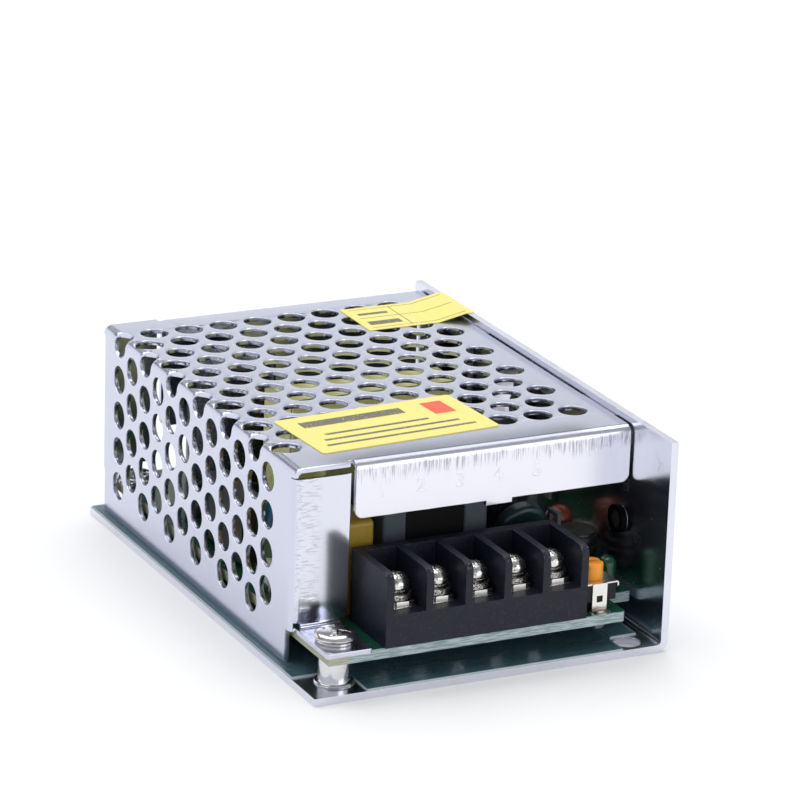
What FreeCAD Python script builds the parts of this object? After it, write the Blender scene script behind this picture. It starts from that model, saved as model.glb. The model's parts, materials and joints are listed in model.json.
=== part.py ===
import FreeCAD, Part
import math
import os

os.makedirs("parts", exist_ok=True)

# Mesh case switching power supply with five screw terminals at its front.
# Millimetres. +X is to the right, +Y to the back and +Z up.
# The origin is the centre of the base's underside.

# Chassis: one folded aluminium sheet, a base and a right wall
case_width = 58.0
case_length = 85.0
case_height = 33.0
chassis_sheet = 1.2
chassis_bend = 0.6

# Insulating film on the base
film_sheet = 0.25
film_margin = 0.2
film_right_margin = 2.6
film_left_notch = (8.5, 8.3)
film_right_notch = (7.5, 5.1)
film_notch_corner = 1.0
film_hole_gap = 0.4

# Cover: one folded and perforated aluminium sheet
cover_sheet = 0.8
cover_bend = 0.6
cover_drop = 1.0
cover_left_gap = 1.4
cover_right_gap = 0.3
cover_front_gap = 11.5
cover_rear_gap = 1.0
flap_from_left = 11.2
flap_corner = 1.2
tab_gap = 0.8
tab_top_gap = 1.6
front_flap_height = 8.8
rear_flap_height = 18.0
rear_tab_low = 8.4
side_notch_depth = 0.8
stub_size = (4.4, 0.7)
stub_from_left = 32.5
tongue_width = 10.0
tongue_places = (22.0, 64.0)
tongue_short = 0.3
slot_clearance = 0.15

# Foot of the cover, screwed down with the board
foot_from_left = 2.0
foot_length = 11.1
foot_width = 7.3
foot_corner = 0.6

# Punched holes of the cover, in rows that are half a pitch apart
punch_diameter = 4.4
punch_pitch = 5.9
punch_sides = 12
punch_rear_margin = 6.9
punch_front_margin = 9.0
punch_right_margin = 2.6
punch_side_first = 1.15
punch_side_low = 6.6

# Circuit board and its pillars
board_sheet = 1.6
board_left_gap = 2.9
board_right_gap = 1.8
board_front_gap = 1.6
board_rear_gap = 2.0
board_notch = (4.8, 7.0)
board_corner = 0.6
pillar_height = 4.0
pillar_radius = 2.4
pillar_collar = (2.9, 0.5)
pillar_shank = 1.9
pillar_edge = 5.5
pillar_front = 5.2
pillar_rear = 6.0
pillar_middle = 33.0
pillar_right_edge = 5.4
board_screw_hole = 1.6
shank_clearance = 0.05

# Board screws: a flange, a domed head and a cross recess
screw_radius = 1.5
flange_radius = 3.2
flange_height = 0.7
head_radius = 2.7
head_height = 1.7
cross_width = 0.6
cross_length = 2.8
cross_depth = 1.0
board_screw_reach = 3.2

# Leads that pass through the board
lead_size = 0.6
lead_clearance = 0.1
solder_height = 1.2
solder_size = 1.8

# Terminal block with five bays
bay_count = 5
bay_pitch = 6.35
barrier_sheet = 1.2
block_from_left = 11.65
block_from_front = 1.2
block_depth = 12.1
block_height = 11.4
block_rear_sheet = 1.7
block_front_height = 5.0
block_front_sheet = 2.2
block_floor_height = 4.2
block_corner = 1.5

# Terminal plates, washers and screws
plate_sheet = 0.8
plate_clearance = 0.1
lip_width = 2.0
lip_rise = 0.9
lip_sheet = 0.25
lip_lean = 0.1
plate_pin = (1.4, 0.8)
plate_pin_from_rear = 1.2
terminal_screw_from_front = 6.4
square_washer = (4.9, 0.8)
spring_washer = (2.2, 0.9)
spring_gap = 0.5
washer_bore = 1.75
terminal_head = (2.2, 2.9)
terminal_dome = 0.8
terminal_slot = (0.7, 1.0)
terminal_shank_low = 0.7
tapped_radius = 1.5

# Trimmer beside the terminal block
trimmer_gap = 0.12
trimmer_from_front = 6.0
trimmer_width = 5.9
trimmer_depth = 5.6
trimmer_foot = 1.5
trimmer_base_height = 2.6
trimmer_metal = 0.25
trimmer_strap_width = 2.46
trimmer_strap_hole = 1.0
trimmer_curl = 0.8
trimmer_curl_bend = 0.1
trimmer_lead_inset = 0.8
trimmer_corner = 0.3
trimmer_window_rise = 1.2
rotor_radius = 1.8
rotor_height = 2.6
rotor_slot = (0.9, 1.2)
rotor_shaft = 0.9
rotor_clearance = 0.1

# Indicator lamp
lamp_radius = 1.5
lamp_flange = (1.75, 0.8)
lamp_height = 5.3
lamp_from_right = 4.9
lamp_from_front = 11.0

# Mounting holes
base_hole_radius = 2.1
base_hole_from_right = 5.4
base_hole_from_front = 2.9
mount_thread_radius = 1.5
mount_collar = (2.2, 1.0)
rear_mount_from_left = 9.0
rear_mount_from_rear = 17.0
wall_mount_height = 16.5
wall_mount_from_front = 14.0
wall_mount_past_middle = 1.0

# Power transistor and rectifier on the right wall
power_body = (10.0, 4.5, 9.0)
power_tab = (1.3, 6.5)
power_hole = 1.9
power_headroom = 2.9
power_lead = (0.5, 0.8)
power_chamfer = 0.6
power_lead_pitch = 2.54
power_lead_depth = 2.6
power_from_front = 42.0
power_from_rear = 15.0
pad_sheet = 0.25
pad_margin = 1.0
wall_head_radius = 2.9
wall_head_height = 2.0
wall_head_edge = 0.6
wall_slot = (0.8, 0.8)

# Line filter behind the terminal block: two end blocks, a spool, a ferrite ring and the copper
filter_from_left = 18.3
filter_from_front = 16.5
filter_depth = 14.5
filter_height = 15.7
filter_end = 3.8
filter_end_corner = 0.4
filter_spool = 4.0
filter_spool_inset = 1.0
filter_core_wall = 3.0
filter_core_inset = 0.3
filter_gap = 0.2
filter_winding_corner = 1.5
filter_slot = (1.1, 1.2, 4.0)
filter_slot_drop = 7.0
filter_lead_inset = (2.0, 3.0)
filter_room = 2.0

# Transformer: an E core lying on its side, its tape, coil former and winding
core_from_left = 18.0
core_width = 28.0
core_leg = 3.6
core_middle_leg = 6.4
core_lift = 1.4
core_headroom = 2.7
core_tape = 0.2
core_tape_inset = 0.5
former_from_front = 43.85
former_from_rear = 22.15
former_beyond_core = 4.15
former_clearance = 0.1
former_flange = 0.9
former_tube = 0.8
former_rail_gap = 0.3
former_pin_count = 4
former_pin_pitch = 5.0
former_pin_inset = 2.5
winding_inset = 0.8
winding_gap = (1.1, 0.2)
winding_corner = 2.0

# Line capacitor, a moulded box
line_capacitor = (7.0, 18.0, 14.6)
line_capacitor_corner = 1.0
line_capacitor_from_left = 9.3
line_capacitor_from_front = 15.0
line_capacitor_lead_inset = 1.5

# Electrolytic capacitors: radius, height and lead pitch
output_can = (5.0, 16.0, 5.0)
output_from_wall = 14.3
output_from_front = (27.5, 38.5)
bulk_radius = 7.0
bulk_pitch = 7.5
bulk_headroom = 3.2
bulk_from_left = 19.5
bulk_from_rear = 10.5
small_can = (3.15, 11.0, 2.5)
small_from_left = 29.5
small_from_rear = 18.0
can_edge = 0.5
can_groove = (1.5, 2.0, 2.5, 0.6)
can_rim = (0.4, 1.0, 1.2, 0.3)

# Coated discs: radius, thickness, height of the middle, lean and lead pitch
disc_capacitor = (4.0, 2.6, 9.2, 20.0, 5.0)
disc_before_output = 0.5
disc_from_front = 18.0
thermistor = (4.5, 3.6, 6.8, 0.0, 5.0)
thermistor_from_left = 13.8
thermistor_from_front = 39.0
thin_lead = 0.5

# Dipped capacitor and drum choke at the right
bead_radius = 2.1
bead_heights = (1.0, 8.4)
bead_pitch = 2.0
bead_from_right = 5.4
bead_from_front = 25.5
drum = (3.25, 6.6, 4)
drum_rib = 0.25
drum_pitch = 2.5
drum_from_right = 5.6
drum_from_front = 19.5

# Fuse and bridge rectifier along the left edge
fuse_radius = 1.8
fuse_cap = 4.0
fuse_lift = 1.0
fuse_lead = (1.0, 0.5)
fuse_from_left = 5.8
fuse_from_front = (15.0, 30.0)
bridge = (3.4, 14.5, 10.5)
bridge_lift = 0.7
bridge_chamfer = 1.2
bridge_lead_inset = 1.5
bridge_from_left = 6.9
bridge_from_front = 38.0

# Chips in dual in-line packages: width, depth and number of pins
chip_height = 3.2
chip_lift = 0.5
chip_chamfer = 0.4
chip_pitch = 2.54
chip_leg_rise = 1.8
chip_leg_gap = 0.3
controller = (6.4, 9.4, 8)
controller_from_left = 38.0
controller_from_rear = 10.0
optocoupler = (6.4, 4.6, 4)
optocoupler_before_output = 11.5
optocoupler_from_front = 38.0

# Resistors and diodes: radius, height of the axis, body length and lead span
small_resistor = (0.9, 1.2, 4.5)
resistor_span = 8.0
front_resistor_from_left = 18.0
front_resistor_from_front = 33.8
rear_resistor_from_left = 36.0
rear_resistor_from_rear = 20.0
standing_resistor = (1.2, 6.3, 2.6)
standing_resistor_from_wall = 9.2
standing_resistor_from_front = 16.6
standing_lift = 1.0
standing_loop_rise = 3.4
large_diode = (1.3, 1.6, 5.0)
large_diode_span = 8.0
large_diode_before_output = 13.0
large_diode_from_front = 41.9
small_diode = (1.3, 1.6, 4.0)
small_diode_span = 6.0
small_diode_from_left = 6.0
small_diode_from_front = 60.0

# Labels
label_sheet = 0.12
front_label = (29.9, 15.5)
front_label_centre = (22.6, 25.15)
front_label_turn = 3.84
rear_label = (18.4, 11.2)
rear_label_from_rear = 18.7
rear_label_rise = 5.0

# Places that the sizes above give
left = -case_width / 2
right = case_width / 2
front = -case_length / 2
rear = case_length / 2
wall_inside = right - chassis_sheet
base_top = chassis_sheet
film_top = base_top + film_sheet
board_low = base_top + pillar_height
board_top = board_low + board_sheet
board_left = left + board_left_gap
board_right = right - board_right_gap
board_front = front + board_front_gap
board_rear = rear - board_rear_gap
cover_left = left + cover_left_gap
cover_right = wall_inside - cover_right_gap
cover_front = front + cover_front_gap
cover_rear = rear - cover_rear_gap
cover_top = case_height - cover_drop
cover_under = cover_top - cover_sheet
cover_outer_bend = cover_sheet + cover_bend
flap_left = left + flap_from_left
tab_right = flap_left - tab_gap
tab_top = cover_top - tab_top_gap
foot_left = left + foot_from_left
foot_top = board_top + cover_sheet
foot_front = cover_front - foot_length
pillar_places = (
    (left + pillar_edge, front + pillar_front, foot_top),
    (left + pillar_edge, rear - pillar_rear, board_top),
    (right - pillar_right_edge, rear - pillar_rear, board_top),
    (right - pillar_right_edge, front + pillar_middle, board_top),
)
block_left = left + block_from_left
block_right = block_left + bay_count * bay_pitch + barrier_sheet
block_front = front + block_from_front
block_rear = block_front + block_depth
block_top = board_top + block_height
bay_floor = board_top + block_floor_height
bay_width = bay_pitch - barrier_sheet
bay_rear = block_rear - block_rear_sheet
bay_centres = [block_left + barrier_sheet + bay_width / 2 + bay_pitch * i for i in range(bay_count)]
terminal_y = front + terminal_screw_from_front
plate_top = bay_floor + plate_sheet
square_top = plate_top + square_washer[1]
spring_top = square_top + spring_washer[1]
trimmer_x = block_right + trimmer_gap + trimmer_width / 2
trimmer_y = front + trimmer_from_front
trimmer_low = board_top + trimmer_foot
trimmer_top = trimmer_low + trimmer_base_height
trimmer_front = trimmer_y - trimmer_depth / 2
power_back = wall_inside - pad_sheet
power_low = cover_under - power_headroom - power_tab[1] - power_body[2]
power_hole_height = power_low + power_body[2] + power_tab[1] / 2
power_places = (power_from_front, case_length - power_from_rear)
wall_mount_places = (wall_mount_from_front, sum(power_places) / 2 + wall_mount_past_middle)
output_x = wall_inside - output_from_wall
filter_left = left + filter_from_left
filter_width = output_x - output_can[0] - filter_room - filter_left
filter_front = front + filter_from_front
core_left = left + core_from_left
core_low = board_top + core_lift
core_height = cover_under - core_headroom - core_low
core_front = front + former_from_front + former_beyond_core
former_depth = case_length - former_from_front - former_from_rear
core_depth = former_depth - 2 * former_beyond_core
bulk_height = cover_under - bulk_headroom - board_top

X = FreeCAD.Vector(1, 0, 0)
Y = FreeCAD.Vector(0, 1, 0)
Z = FreeCAD.Vector(0, 0, 1)

# Places of the leads, filled as the parts on the board are made
lead_places = []


def at(x, y, z):
    return FreeCAD.Vector(x, y, z)


def block(x0, x1, y0, y1, z0, z1):
    """A box between two corners."""
    return Part.makeBox(x1 - x0, y1 - y0, z1 - z0, at(x0, y0, z0))


def rod(radius, start, end):
    """A round bar from one point to another."""
    run = end - start
    return Part.makeCylinder(radius, run.Length, start, run)


def post(radius, x, y, z0, z1):
    """An upright round bar."""
    return rod(radius, at(x, y, z0), at(x, y, z1))


def join(pieces):
    """One solid from pieces that meet."""
    whole = pieces[0].multiFuse(pieces[1:])
    return whole.removeSplitter()


def prism(points, run):
    """A closed outline of straight sides, pushed along a run."""
    wire = Part.makePolygon(points + [points[0]])
    return Part.Face(wire).extrude(run)


def turned(profile, x, y):
    """A solid of revolution about an upright axis, from (radius, height) points."""
    points = [at(x + radius, y, height) for radius, height in profile]
    face = Part.Face(Part.makePolygon(points + [points[0]]))
    return face.revolve(at(x, y, 0), Z, 360)


def edges_along(shape, axis, keep):
    """The straight edges along an axis whose middles pass a test."""
    found = []
    for edge in shape.Edges:
        if edge.Curve.TypeId != "Part::GeomLine":
            continue
        if edge.tangentAt(edge.FirstParameter).cross(axis).Length < 1e-6 and keep(edge.CenterOfMass):
            found.append(edge)
    return found


def rounded(shape, radius, axis, keep=lambda middle: True):
    """A shape with the straight edges along an axis rounded."""
    return shape.makeFillet(radius, edges_along(shape, axis, keep))


def bent_sheet(corner, run_a, run_b, width, sheet, bend):
    """A sheet folded square; the outer faces of its two legs would meet at the corner."""
    a = FreeCAD.Vector(run_a).normalize()
    b = FreeCAD.Vector(run_b).normalize()
    outer = sheet + bend
    middle = corner + (a + b) * outer
    slant = (a + b) * (1 / math.sqrt(2))
    outer_a = corner + a * outer
    outer_b = corner + b * outer
    inner_a = outer_a + b * sheet
    inner_b = outer_b + a * sheet
    rim = [corner + run_a, corner + run_a + b * sheet, inner_a]
    rim_b = [inner_b, corner + run_b + a * sheet, corner + run_b, outer_b]
    edges = []
    for stretch in (rim, rim_b, [outer_a, corner + run_a]):
        for start, end in zip(stretch, stretch[1:]):
            if (end - start).Length > 1e-6:
                edges.append(Part.makeLine(start, end))
    edges.append(Part.Arc(inner_a, middle - slant * bend, inner_b).toShape())
    edges.append(Part.Arc(outer_b, middle - slant * outer, outer_a).toShape())
    wire = Part.Wire(Part.__sortEdges__(edges))
    return Part.Face(wire).extrude(width)


def lead(x, y, top, width=lead_size, depth=lead_size):
    """A square lead through the board with its cone of solder below."""
    lead_places.append((x, y, width, depth))
    low = board_low - solder_height
    pin = block(x - width / 2, x + width / 2, y - depth / 2, y + depth / 2, low, top)
    rings = []
    for grow, height in ((solder_size - lead_size, board_low), (0.0, low)):
        half_x = (width + grow) / 2
        half_y = (depth + grow) / 2
        corners = [(-half_x, -half_y), (half_x, -half_y), (half_x, half_y), (-half_x, half_y)]
        points = [at(x + dx, y + dy, height) for dx, dy in corners]
        rings.append(Part.makePolygon(points + [points[0]]))
    return pin.fuse(Part.makeLoft(rings, True, True))


# Chassis and film

def make_chassis():
    """The base and the right wall, with mounting holes, pillar holes and slots."""
    corner = at(right, front, 0)
    sheet = bent_sheet(corner, X * -case_width, Z * case_height, Y * case_length, chassis_sheet, chassis_bend)
    collars = []
    holes = []
    rear_x = left + rear_mount_from_left
    rear_y = rear - rear_mount_from_rear
    collars.append(post(mount_collar[0], rear_x, rear_y, base_top, base_top + mount_collar[1]))
    holes.append(post(mount_thread_radius, rear_x, rear_y, -1, base_top + mount_collar[1] + 1))
    inner = wall_inside - mount_collar[1]
    for offset in wall_mount_places:
        y = front + offset
        z = wall_mount_height
        collars.append(rod(mount_collar[0], at(inner, y, z), at(wall_inside, y, z)))
        holes.append(rod(mount_thread_radius, at(inner - 1, y, z), at(right + 1, y, z)))
    for offset in power_places:
        y = front + offset
        z = power_hole_height
        holes.append(rod(tapped_radius, at(wall_inside - 1, y, z), at(right + 1, y, z)))
    hole_x = right - base_hole_from_right
    hole_y = front + base_hole_from_front
    holes.append(post(base_hole_radius, hole_x, hole_y, -1, base_top + 1))
    for x, y, seat in pillar_places:
        holes.append(post(pillar_shank + shank_clearance, x, y, -1, base_top + 1))
    for offset in tongue_places:
        y = front + offset
        half = tongue_width / 2 + slot_clearance
        low = cover_under - slot_clearance
        holes.append(block(wall_inside - 1, right + 1, y - half, y + half, low, cover_top + slot_clearance))
    return join([sheet] + collars).cut(Part.makeCompound(holes))


def make_film():
    """The clear sheet between the base and the board."""
    film_left = left + film_margin
    film_right = right - film_right_margin
    film_front = front + film_margin
    sheet = block(film_left, film_right, film_front, rear - film_margin, base_top, film_top)
    over = film_top + 1
    notch_width, notch_depth = film_left_notch
    left_notch = block(left - 1, left + notch_width, front - 1, front + notch_depth, 0, over)
    notch_width, notch_depth = film_right_notch
    right_notch = block(right - notch_width, right, front - 1, front + notch_depth, 0, over)
    right_notch = rounded(
        right_notch,
        film_notch_corner,
        Z,
        lambda middle: middle.x < film_right - 1 and middle.y > film_front,
    )
    holes = [left_notch, right_notch]
    for x, y, seat in pillar_places[1:]:
        holes.append(post(pillar_collar[0] + film_hole_gap, x, y, 0, over))
    rear_x = left + rear_mount_from_left
    rear_y = rear - rear_mount_from_rear
    holes.append(post(mount_collar[0] + film_hole_gap, rear_x, rear_y, 0, over))
    return sheet.cut(Part.makeCompound(holes))


# Cover

def end_flap(y, inward, height):
    """The part of the top that folds down at one end of the cover."""
    flap = bent_sheet(
        at(flap_left, y, cover_top),
        Y * (inward * cover_outer_bend),
        Z * -height,
        X * (cover_right - flap_left),
        cover_sheet,
        cover_bend,
    )
    return rounded(flap, flap_corner, Y, lambda middle: middle.z < cover_top - height + 0.1)


def end_tab(y, inward, low):
    """The part of the side that folds round at one end of the cover."""
    return bent_sheet(
        at(cover_left, y, low),
        Y * (inward * cover_outer_bend),
        X * (tab_right - cover_left),
        Z * (tab_top - low),
        cover_sheet,
        cover_bend,
    )


def end_strip(y, inward):
    """The top's edge above a tab, which stays flat."""
    start = y + inward * tab_gap / 2
    return bent_sheet(
        at(cover_left, start, cover_top),
        X * (flap_left - cover_left),
        Z * -cover_outer_bend,
        Y * (inward * (cover_outer_bend - tab_gap / 2)),
        cover_sheet,
        cover_bend,
    )


def make_foot():
    """The foot at the bottom of the front tab, with its screw hole."""
    foot = bent_sheet(
        at(foot_left, cover_front + cover_sheet, board_top),
        Y * -(foot_length + cover_sheet),
        Z * cover_outer_bend,
        X * foot_width,
        cover_sheet,
        cover_bend,
    )
    foot = rounded(foot, foot_corner, Z, lambda middle: middle.y < foot_front + 0.1)
    x, y, seat = pillar_places[0]
    return foot.cut(post(board_screw_hole + 0.1, x, y, board_top - 1, foot_top + 1))


def punch(centre, u, v):
    """A punch through the sheet, seen along the third direction."""
    points = []
    for i in range(punch_sides):
        angle = 2 * math.pi * (i + 0.5) / punch_sides
        points.append(centre + (u * math.cos(angle) + v * math.sin(angle)) * (punch_diameter / 2))
    return prism(points, u.cross(v) * (3 * cover_sheet))


def top_punch(x, y):
    return punch(at(x, y, cover_under - cover_sheet), X, Y)


def side_punch(y, z):
    return punch(at(cover_left - cover_sheet, y, z), Y, Z)


def bend_punch(y):
    """A round hole of the flat sheet after the sheet is folded through it."""
    bend_x = cover_left + cover_outer_bend
    bend_z = cover_top - cover_outer_bend
    reach = punch_diameter
    on_top = top_punch(cover_left + punch_side_first / 2, y).common(
        block(bend_x, bend_x + reach, y - reach, y + reach, 0, case_height)
    )
    on_side = side_punch(y, cover_top - punch_side_first / 2).common(
        block(cover_left - 1, bend_x, y - reach, y + reach, bend_z - reach, bend_z)
    )
    half = punch_diameter / 2 * math.cos(math.pi / punch_sides)
    in_bend = block(cover_left - 1, bend_x, y - half, y + half, bend_z, cover_top + 1)
    return on_top.multiFuse([on_side, in_bend])


def punches():
    """Every hole of the cover: rows along X, every other one shifted by half a pitch."""
    row_step = punch_pitch * math.sqrt(3) / 2
    first_y = cover_rear - punch_rear_margin
    row_count = 1 + int((first_y - cover_front - punch_front_margin) / row_step)
    tools = []
    for row in range(row_count):
        y = first_y - row * row_step
        shift = 0.5 * (row % 2)
        if row % 2 == 0:
            tools.append(bend_punch(y))
        column = 1 - shift
        while cover_left + column * punch_pitch < cover_right - punch_right_margin:
            tools.append(top_punch(cover_left + column * punch_pitch, y))
            column += 1
        column = 1 - shift
        while cover_top - punch_side_first - column * punch_pitch > punch_side_low:
            tools.append(side_punch(y, cover_top - punch_side_first - column * punch_pitch))
            column += 1
    return tools


def make_cover():
    """Top, left side, end flaps, end tabs, foot and tongues, folded from one sheet."""
    shell = bent_sheet(
        at(cover_left, cover_front + cover_outer_bend, cover_top),
        X * (cover_right - cover_left),
        Z * (film_top - cover_top),
        Y * (cover_rear - cover_front - 2 * cover_outer_bend),
        cover_sheet,
        cover_bend,
    )
    front_tab = end_tab(cover_front, 1, board_top).cut(
        block(foot_left, tab_right + 1, cover_front - 1, cover_front + 3, 0, board_top + cover_outer_bend)
    )
    stub_left = left + stub_from_left
    stub_right = stub_left + stub_size[0]
    flap_low = cover_top - front_flap_height
    stub_low = flap_low - stub_size[1]
    stub = block(stub_left, stub_right, cover_front, cover_front + cover_sheet, stub_low, flap_low)
    pieces = [shell, front_tab, make_foot(), stub]
    pieces.append(end_flap(cover_front, 1, front_flap_height))
    pieces.append(end_flap(cover_rear, -1, rear_flap_height))
    pieces.append(end_tab(cover_rear, -1, rear_tab_low))
    pieces.append(end_strip(cover_front, 1))
    pieces.append(end_strip(cover_rear, -1))
    for offset in tongue_places:
        y = front + offset
        half = tongue_width / 2
        pieces.append(block(cover_right, right - tongue_short, y - half, y + half, cover_under, cover_top))
    notch_rear = cover_front + cover_outer_bend + side_notch_depth
    notch = block(cover_left - 1, cover_left + cover_outer_bend, cover_front, notch_rear, 0, board_top)
    return join(pieces).cut(Part.makeCompound([notch] + punches()))


# Board, pillars and screws

def make_pillars():
    """Four swaged pillars, each with a collar and a shank in the base."""
    pillars = []
    for x, y, seat in pillar_places:
        body = turned(
            [
                (0.0, 0.0),
                (pillar_shank, 0.0),
                (pillar_shank, base_top),
                (pillar_collar[0], base_top),
                (pillar_collar[0], base_top + pillar_collar[1]),
                (pillar_radius, base_top + pillar_collar[1]),
                (pillar_radius, board_low),
                (0.0, board_low),
            ],
            x,
            y,
        )
        pillars.append(body.cut(post(screw_radius, x, y, base_top, board_low + 1)))
    return Part.makeCompound(pillars)


def make_board():
    """The circuit board, stepped at its front right corner, with a hole for each lead."""
    sheet = block(board_left, board_right, board_front, board_rear, board_low, board_top)
    notch_left = board_right - board_notch[0]
    notch_rear = board_front + board_notch[1]
    sheet = sheet.cut(block(notch_left, right, front - 1, notch_rear, 0, board_top + 1))
    sheet = rounded(
        sheet,
        board_corner,
        Z,
        lambda middle: middle.x > notch_left - 0.1 and middle.y < notch_rear + 0.1,
    )
    holes = []
    for x, y, seat in pillar_places:
        holes.append(post(board_screw_hole, x, y, board_low - 1, board_top + 1))
    for x, y, width, depth in lead_places:
        half_x = width / 2 + lead_clearance
        half_y = depth / 2 + lead_clearance
        holes.append(block(x - half_x, x + half_x, y - half_y, y + half_y, board_low - 1, board_top + 1))
    return sheet.cut(Part.makeCompound(holes))


def domed_head(x, y, low, radius, height, dome):
    """A round head with a domed top."""
    side = post(radius, x, y, low, low + height)
    ball_radius = (radius * radius + dome * dome) / (2 * dome)
    ball = Part.makeSphere(ball_radius, at(x, y, low + height - ball_radius))
    return side.common(ball)


def make_board_screws():
    """Four cross-recessed screws with flanges."""
    screws = []
    for x, y, seat in pillar_places:
        flange = post(flange_radius, x, y, seat, seat + flange_height)
        head = domed_head(x, y, seat + flange_height, head_radius, head_height, head_height * 0.6)
        shank = post(screw_radius - shank_clearance, x, y, seat - board_sheet - board_screw_reach + 1.0, seat)
        top = seat + flange_height + head_height
        recess = []
        for half_x, half_y in ((cross_length / 2, cross_width / 2), (cross_width / 2, cross_length / 2)):
            recess.append(block(x - half_x, x + half_x, y - half_y, y + half_y, top - cross_depth, top + 1))
        screws.append(join([flange, head, shank]).cut(join(recess)))
    return Part.makeCompound(screws)


# Terminals

def make_terminal_block():
    """The moulding: six barriers, five bays with a floor, a low front wall and a high rear wall."""
    body = block(block_left, block_right, block_front, block_rear, board_top, block_top)
    body = rounded(
        body,
        block_corner,
        X,
        lambda middle: middle.y < block_front + 0.1 and middle.z > block_top - 0.1,
    )
    rooms = []
    for x in bay_centres:
        x0 = x - bay_width / 2
        x1 = x + bay_width / 2
        rooms.append(block(x0, x1, block_front - 1, bay_rear, board_top + block_front_height, block_top + 1))
        rooms.append(block(x0, x1, block_front + block_front_sheet, bay_rear, bay_floor, block_top))
        rooms.append(post(tapped_radius + 0.2, x, terminal_y, board_top + 0.4, bay_floor + 1))
        pin_y = bay_rear - plate_pin_from_rear
        half_x = plate_pin[0] / 2 + lead_clearance
        half_y = plate_pin[1] / 2 + lead_clearance
        pin_top = bay_floor + 1
        rooms.append(block(x - half_x, x + half_x, pin_y - half_y, pin_y + half_y, board_top - 1, pin_top))
    return body.cut(join(rooms))


def make_terminal_plate(x):
    """A tinned plate on the bay's floor, with a raised lip in front and its pin in the board."""
    half = bay_width / 2 - plate_clearance
    y0 = block_front + block_front_sheet + plate_clearance
    plate = block(x - half, x + half, y0, bay_rear - plate_clearance, bay_floor, plate_top)
    lip_x = x - lip_width / 2
    lip_points = [
        at(lip_x, y0, plate_top - lip_sheet),
        at(lip_x, y0 + lip_sheet, plate_top - lip_sheet),
        at(lip_x, y0 + lip_sheet + lip_lean, plate_top + lip_rise - lip_lean),
        at(lip_x, y0 + lip_lean, plate_top + lip_rise),
    ]
    lip = prism(lip_points, X * lip_width)
    pin_y = bay_rear - plate_pin_from_rear
    pin = lead(x, pin_y, bay_floor, plate_pin[0], plate_pin[1])
    hole = post(tapped_radius, x, terminal_y, bay_floor - 1, plate_top + 1)
    return join([plate, lip, pin]).cut(hole)


def make_square_washer(x):
    half = square_washer[0] / 2
    washer = block(x - half, x + half, terminal_y - half, terminal_y + half, plate_top, square_top)
    washer = rounded(washer, 0.5, Z)
    return washer.cut(post(washer_bore, x, terminal_y, plate_top - 1, square_top + 1))


def make_spring_washer(x):
    """A split ring, shown pressed flat by the screw."""
    ring = post(spring_washer[0], x, terminal_y, square_top, spring_top)
    bore = post(washer_bore, x, terminal_y, square_top - 1, spring_top + 1)
    split_y = terminal_y + spring_gap
    split = block(x, x + spring_washer[0] + 1, terminal_y, split_y, square_top - 1, spring_top + 1)
    return ring.cut(bore.fuse(split))


def make_terminal_screw(x):
    """A slotted screw with a high domed head."""
    radius, height = terminal_head
    head = domed_head(x, terminal_y, spring_top, radius, height, terminal_dome)
    shank = post(tapped_radius - shank_clearance, x, terminal_y, board_top + terminal_shank_low, spring_top)
    top = spring_top + height
    half = terminal_slot[0] / 2
    slot_low = top - terminal_slot[1]
    slot = block(x - radius, x + radius, terminal_y - half, terminal_y + half, slot_low, top + 1)
    return join([head, shank]).cut(slot)


# Trimmer and lamp

def make_trimmer_base():
    half = trimmer_width / 2
    y0 = trimmer_front
    y1 = trimmer_front + trimmer_depth
    body = block(trimmer_x - half, trimmer_x + half, y0, y1, trimmer_low, trimmer_top)
    body = rounded(body, trimmer_corner, Z)
    shaft = post(rotor_shaft + rotor_clearance, trimmer_x, trimmer_y, trimmer_low + 0.5, trimmer_top + 1)
    leg_run = half - trimmer_lead_inset
    legs = [lead(trimmer_x + side * leg_run, y1 - trimmer_lead_inset, trimmer_low) for side in (-1, 1)]
    return join([body.cut(shaft)] + legs)


def make_trimmer_strap():
    """One strip of white metal: a plate over the base, a leg in front and a curled right end."""
    half = trimmer_width / 2
    strap_half = trimmer_strap_width / 2
    plate_z = trimmer_top + trimmer_metal
    y0 = trimmer_front
    y1 = trimmer_front + trimmer_depth - 0.6
    plate = block(trimmer_x - half + 0.4, trimmer_x + half, y0, y1, trimmer_top, plate_z)
    leg = block(trimmer_x - strap_half, trimmer_x + strap_half, y0 - trimmer_metal, y0, board_top, plate_z)
    window = trimmer_strap_hole / 2
    window_z = (board_top + trimmer_low) / 2 + trimmer_window_rise
    hole = block(trimmer_x - window, trimmer_x + window, y0 - 1, y0 + 1, window_z - window, window_z + window)
    curl = bent_sheet(
        at(trimmer_x + half + trimmer_metal + trimmer_curl_bend, y0, plate_z),
        X * -(2 * trimmer_metal + 2 * trimmer_curl_bend),
        Z * -trimmer_curl,
        Y * (y1 - y0),
        trimmer_metal,
        trimmer_curl_bend,
    )
    foot = lead(trimmer_x, y0 - trimmer_metal / 2, board_top + 0.4, 1.0, trimmer_metal)
    strap = join([plate, leg, curl, foot]).cut(hole)
    return strap.cut(post(rotor_shaft + rotor_clearance, trimmer_x, trimmer_y, trimmer_top - 1, plate_z + 1))


def make_trimmer_rotor():
    """The orange rotor with its screwdriver slot, and its shaft in the base."""
    seat = trimmer_top + trimmer_metal
    disc = turned(
        [
            (0.0, seat),
            (rotor_radius, seat),
            (rotor_radius, seat + rotor_height - 0.3),
            (rotor_radius - 0.3, seat + rotor_height),
            (0.0, seat + rotor_height),
        ],
        trimmer_x,
        trimmer_y,
    )
    shaft = post(rotor_shaft, trimmer_x, trimmer_y, trimmer_low + 0.7, seat)
    x0 = trimmer_x - rotor_radius
    x1 = trimmer_x + rotor_radius
    half = rotor_slot[0] / 2
    top = seat + rotor_height
    slot = block(x0, x1, trimmer_y - half, trimmer_y + half, top - rotor_slot[1], top + 1)
    return join([disc, shaft]).cut(slot)


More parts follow.
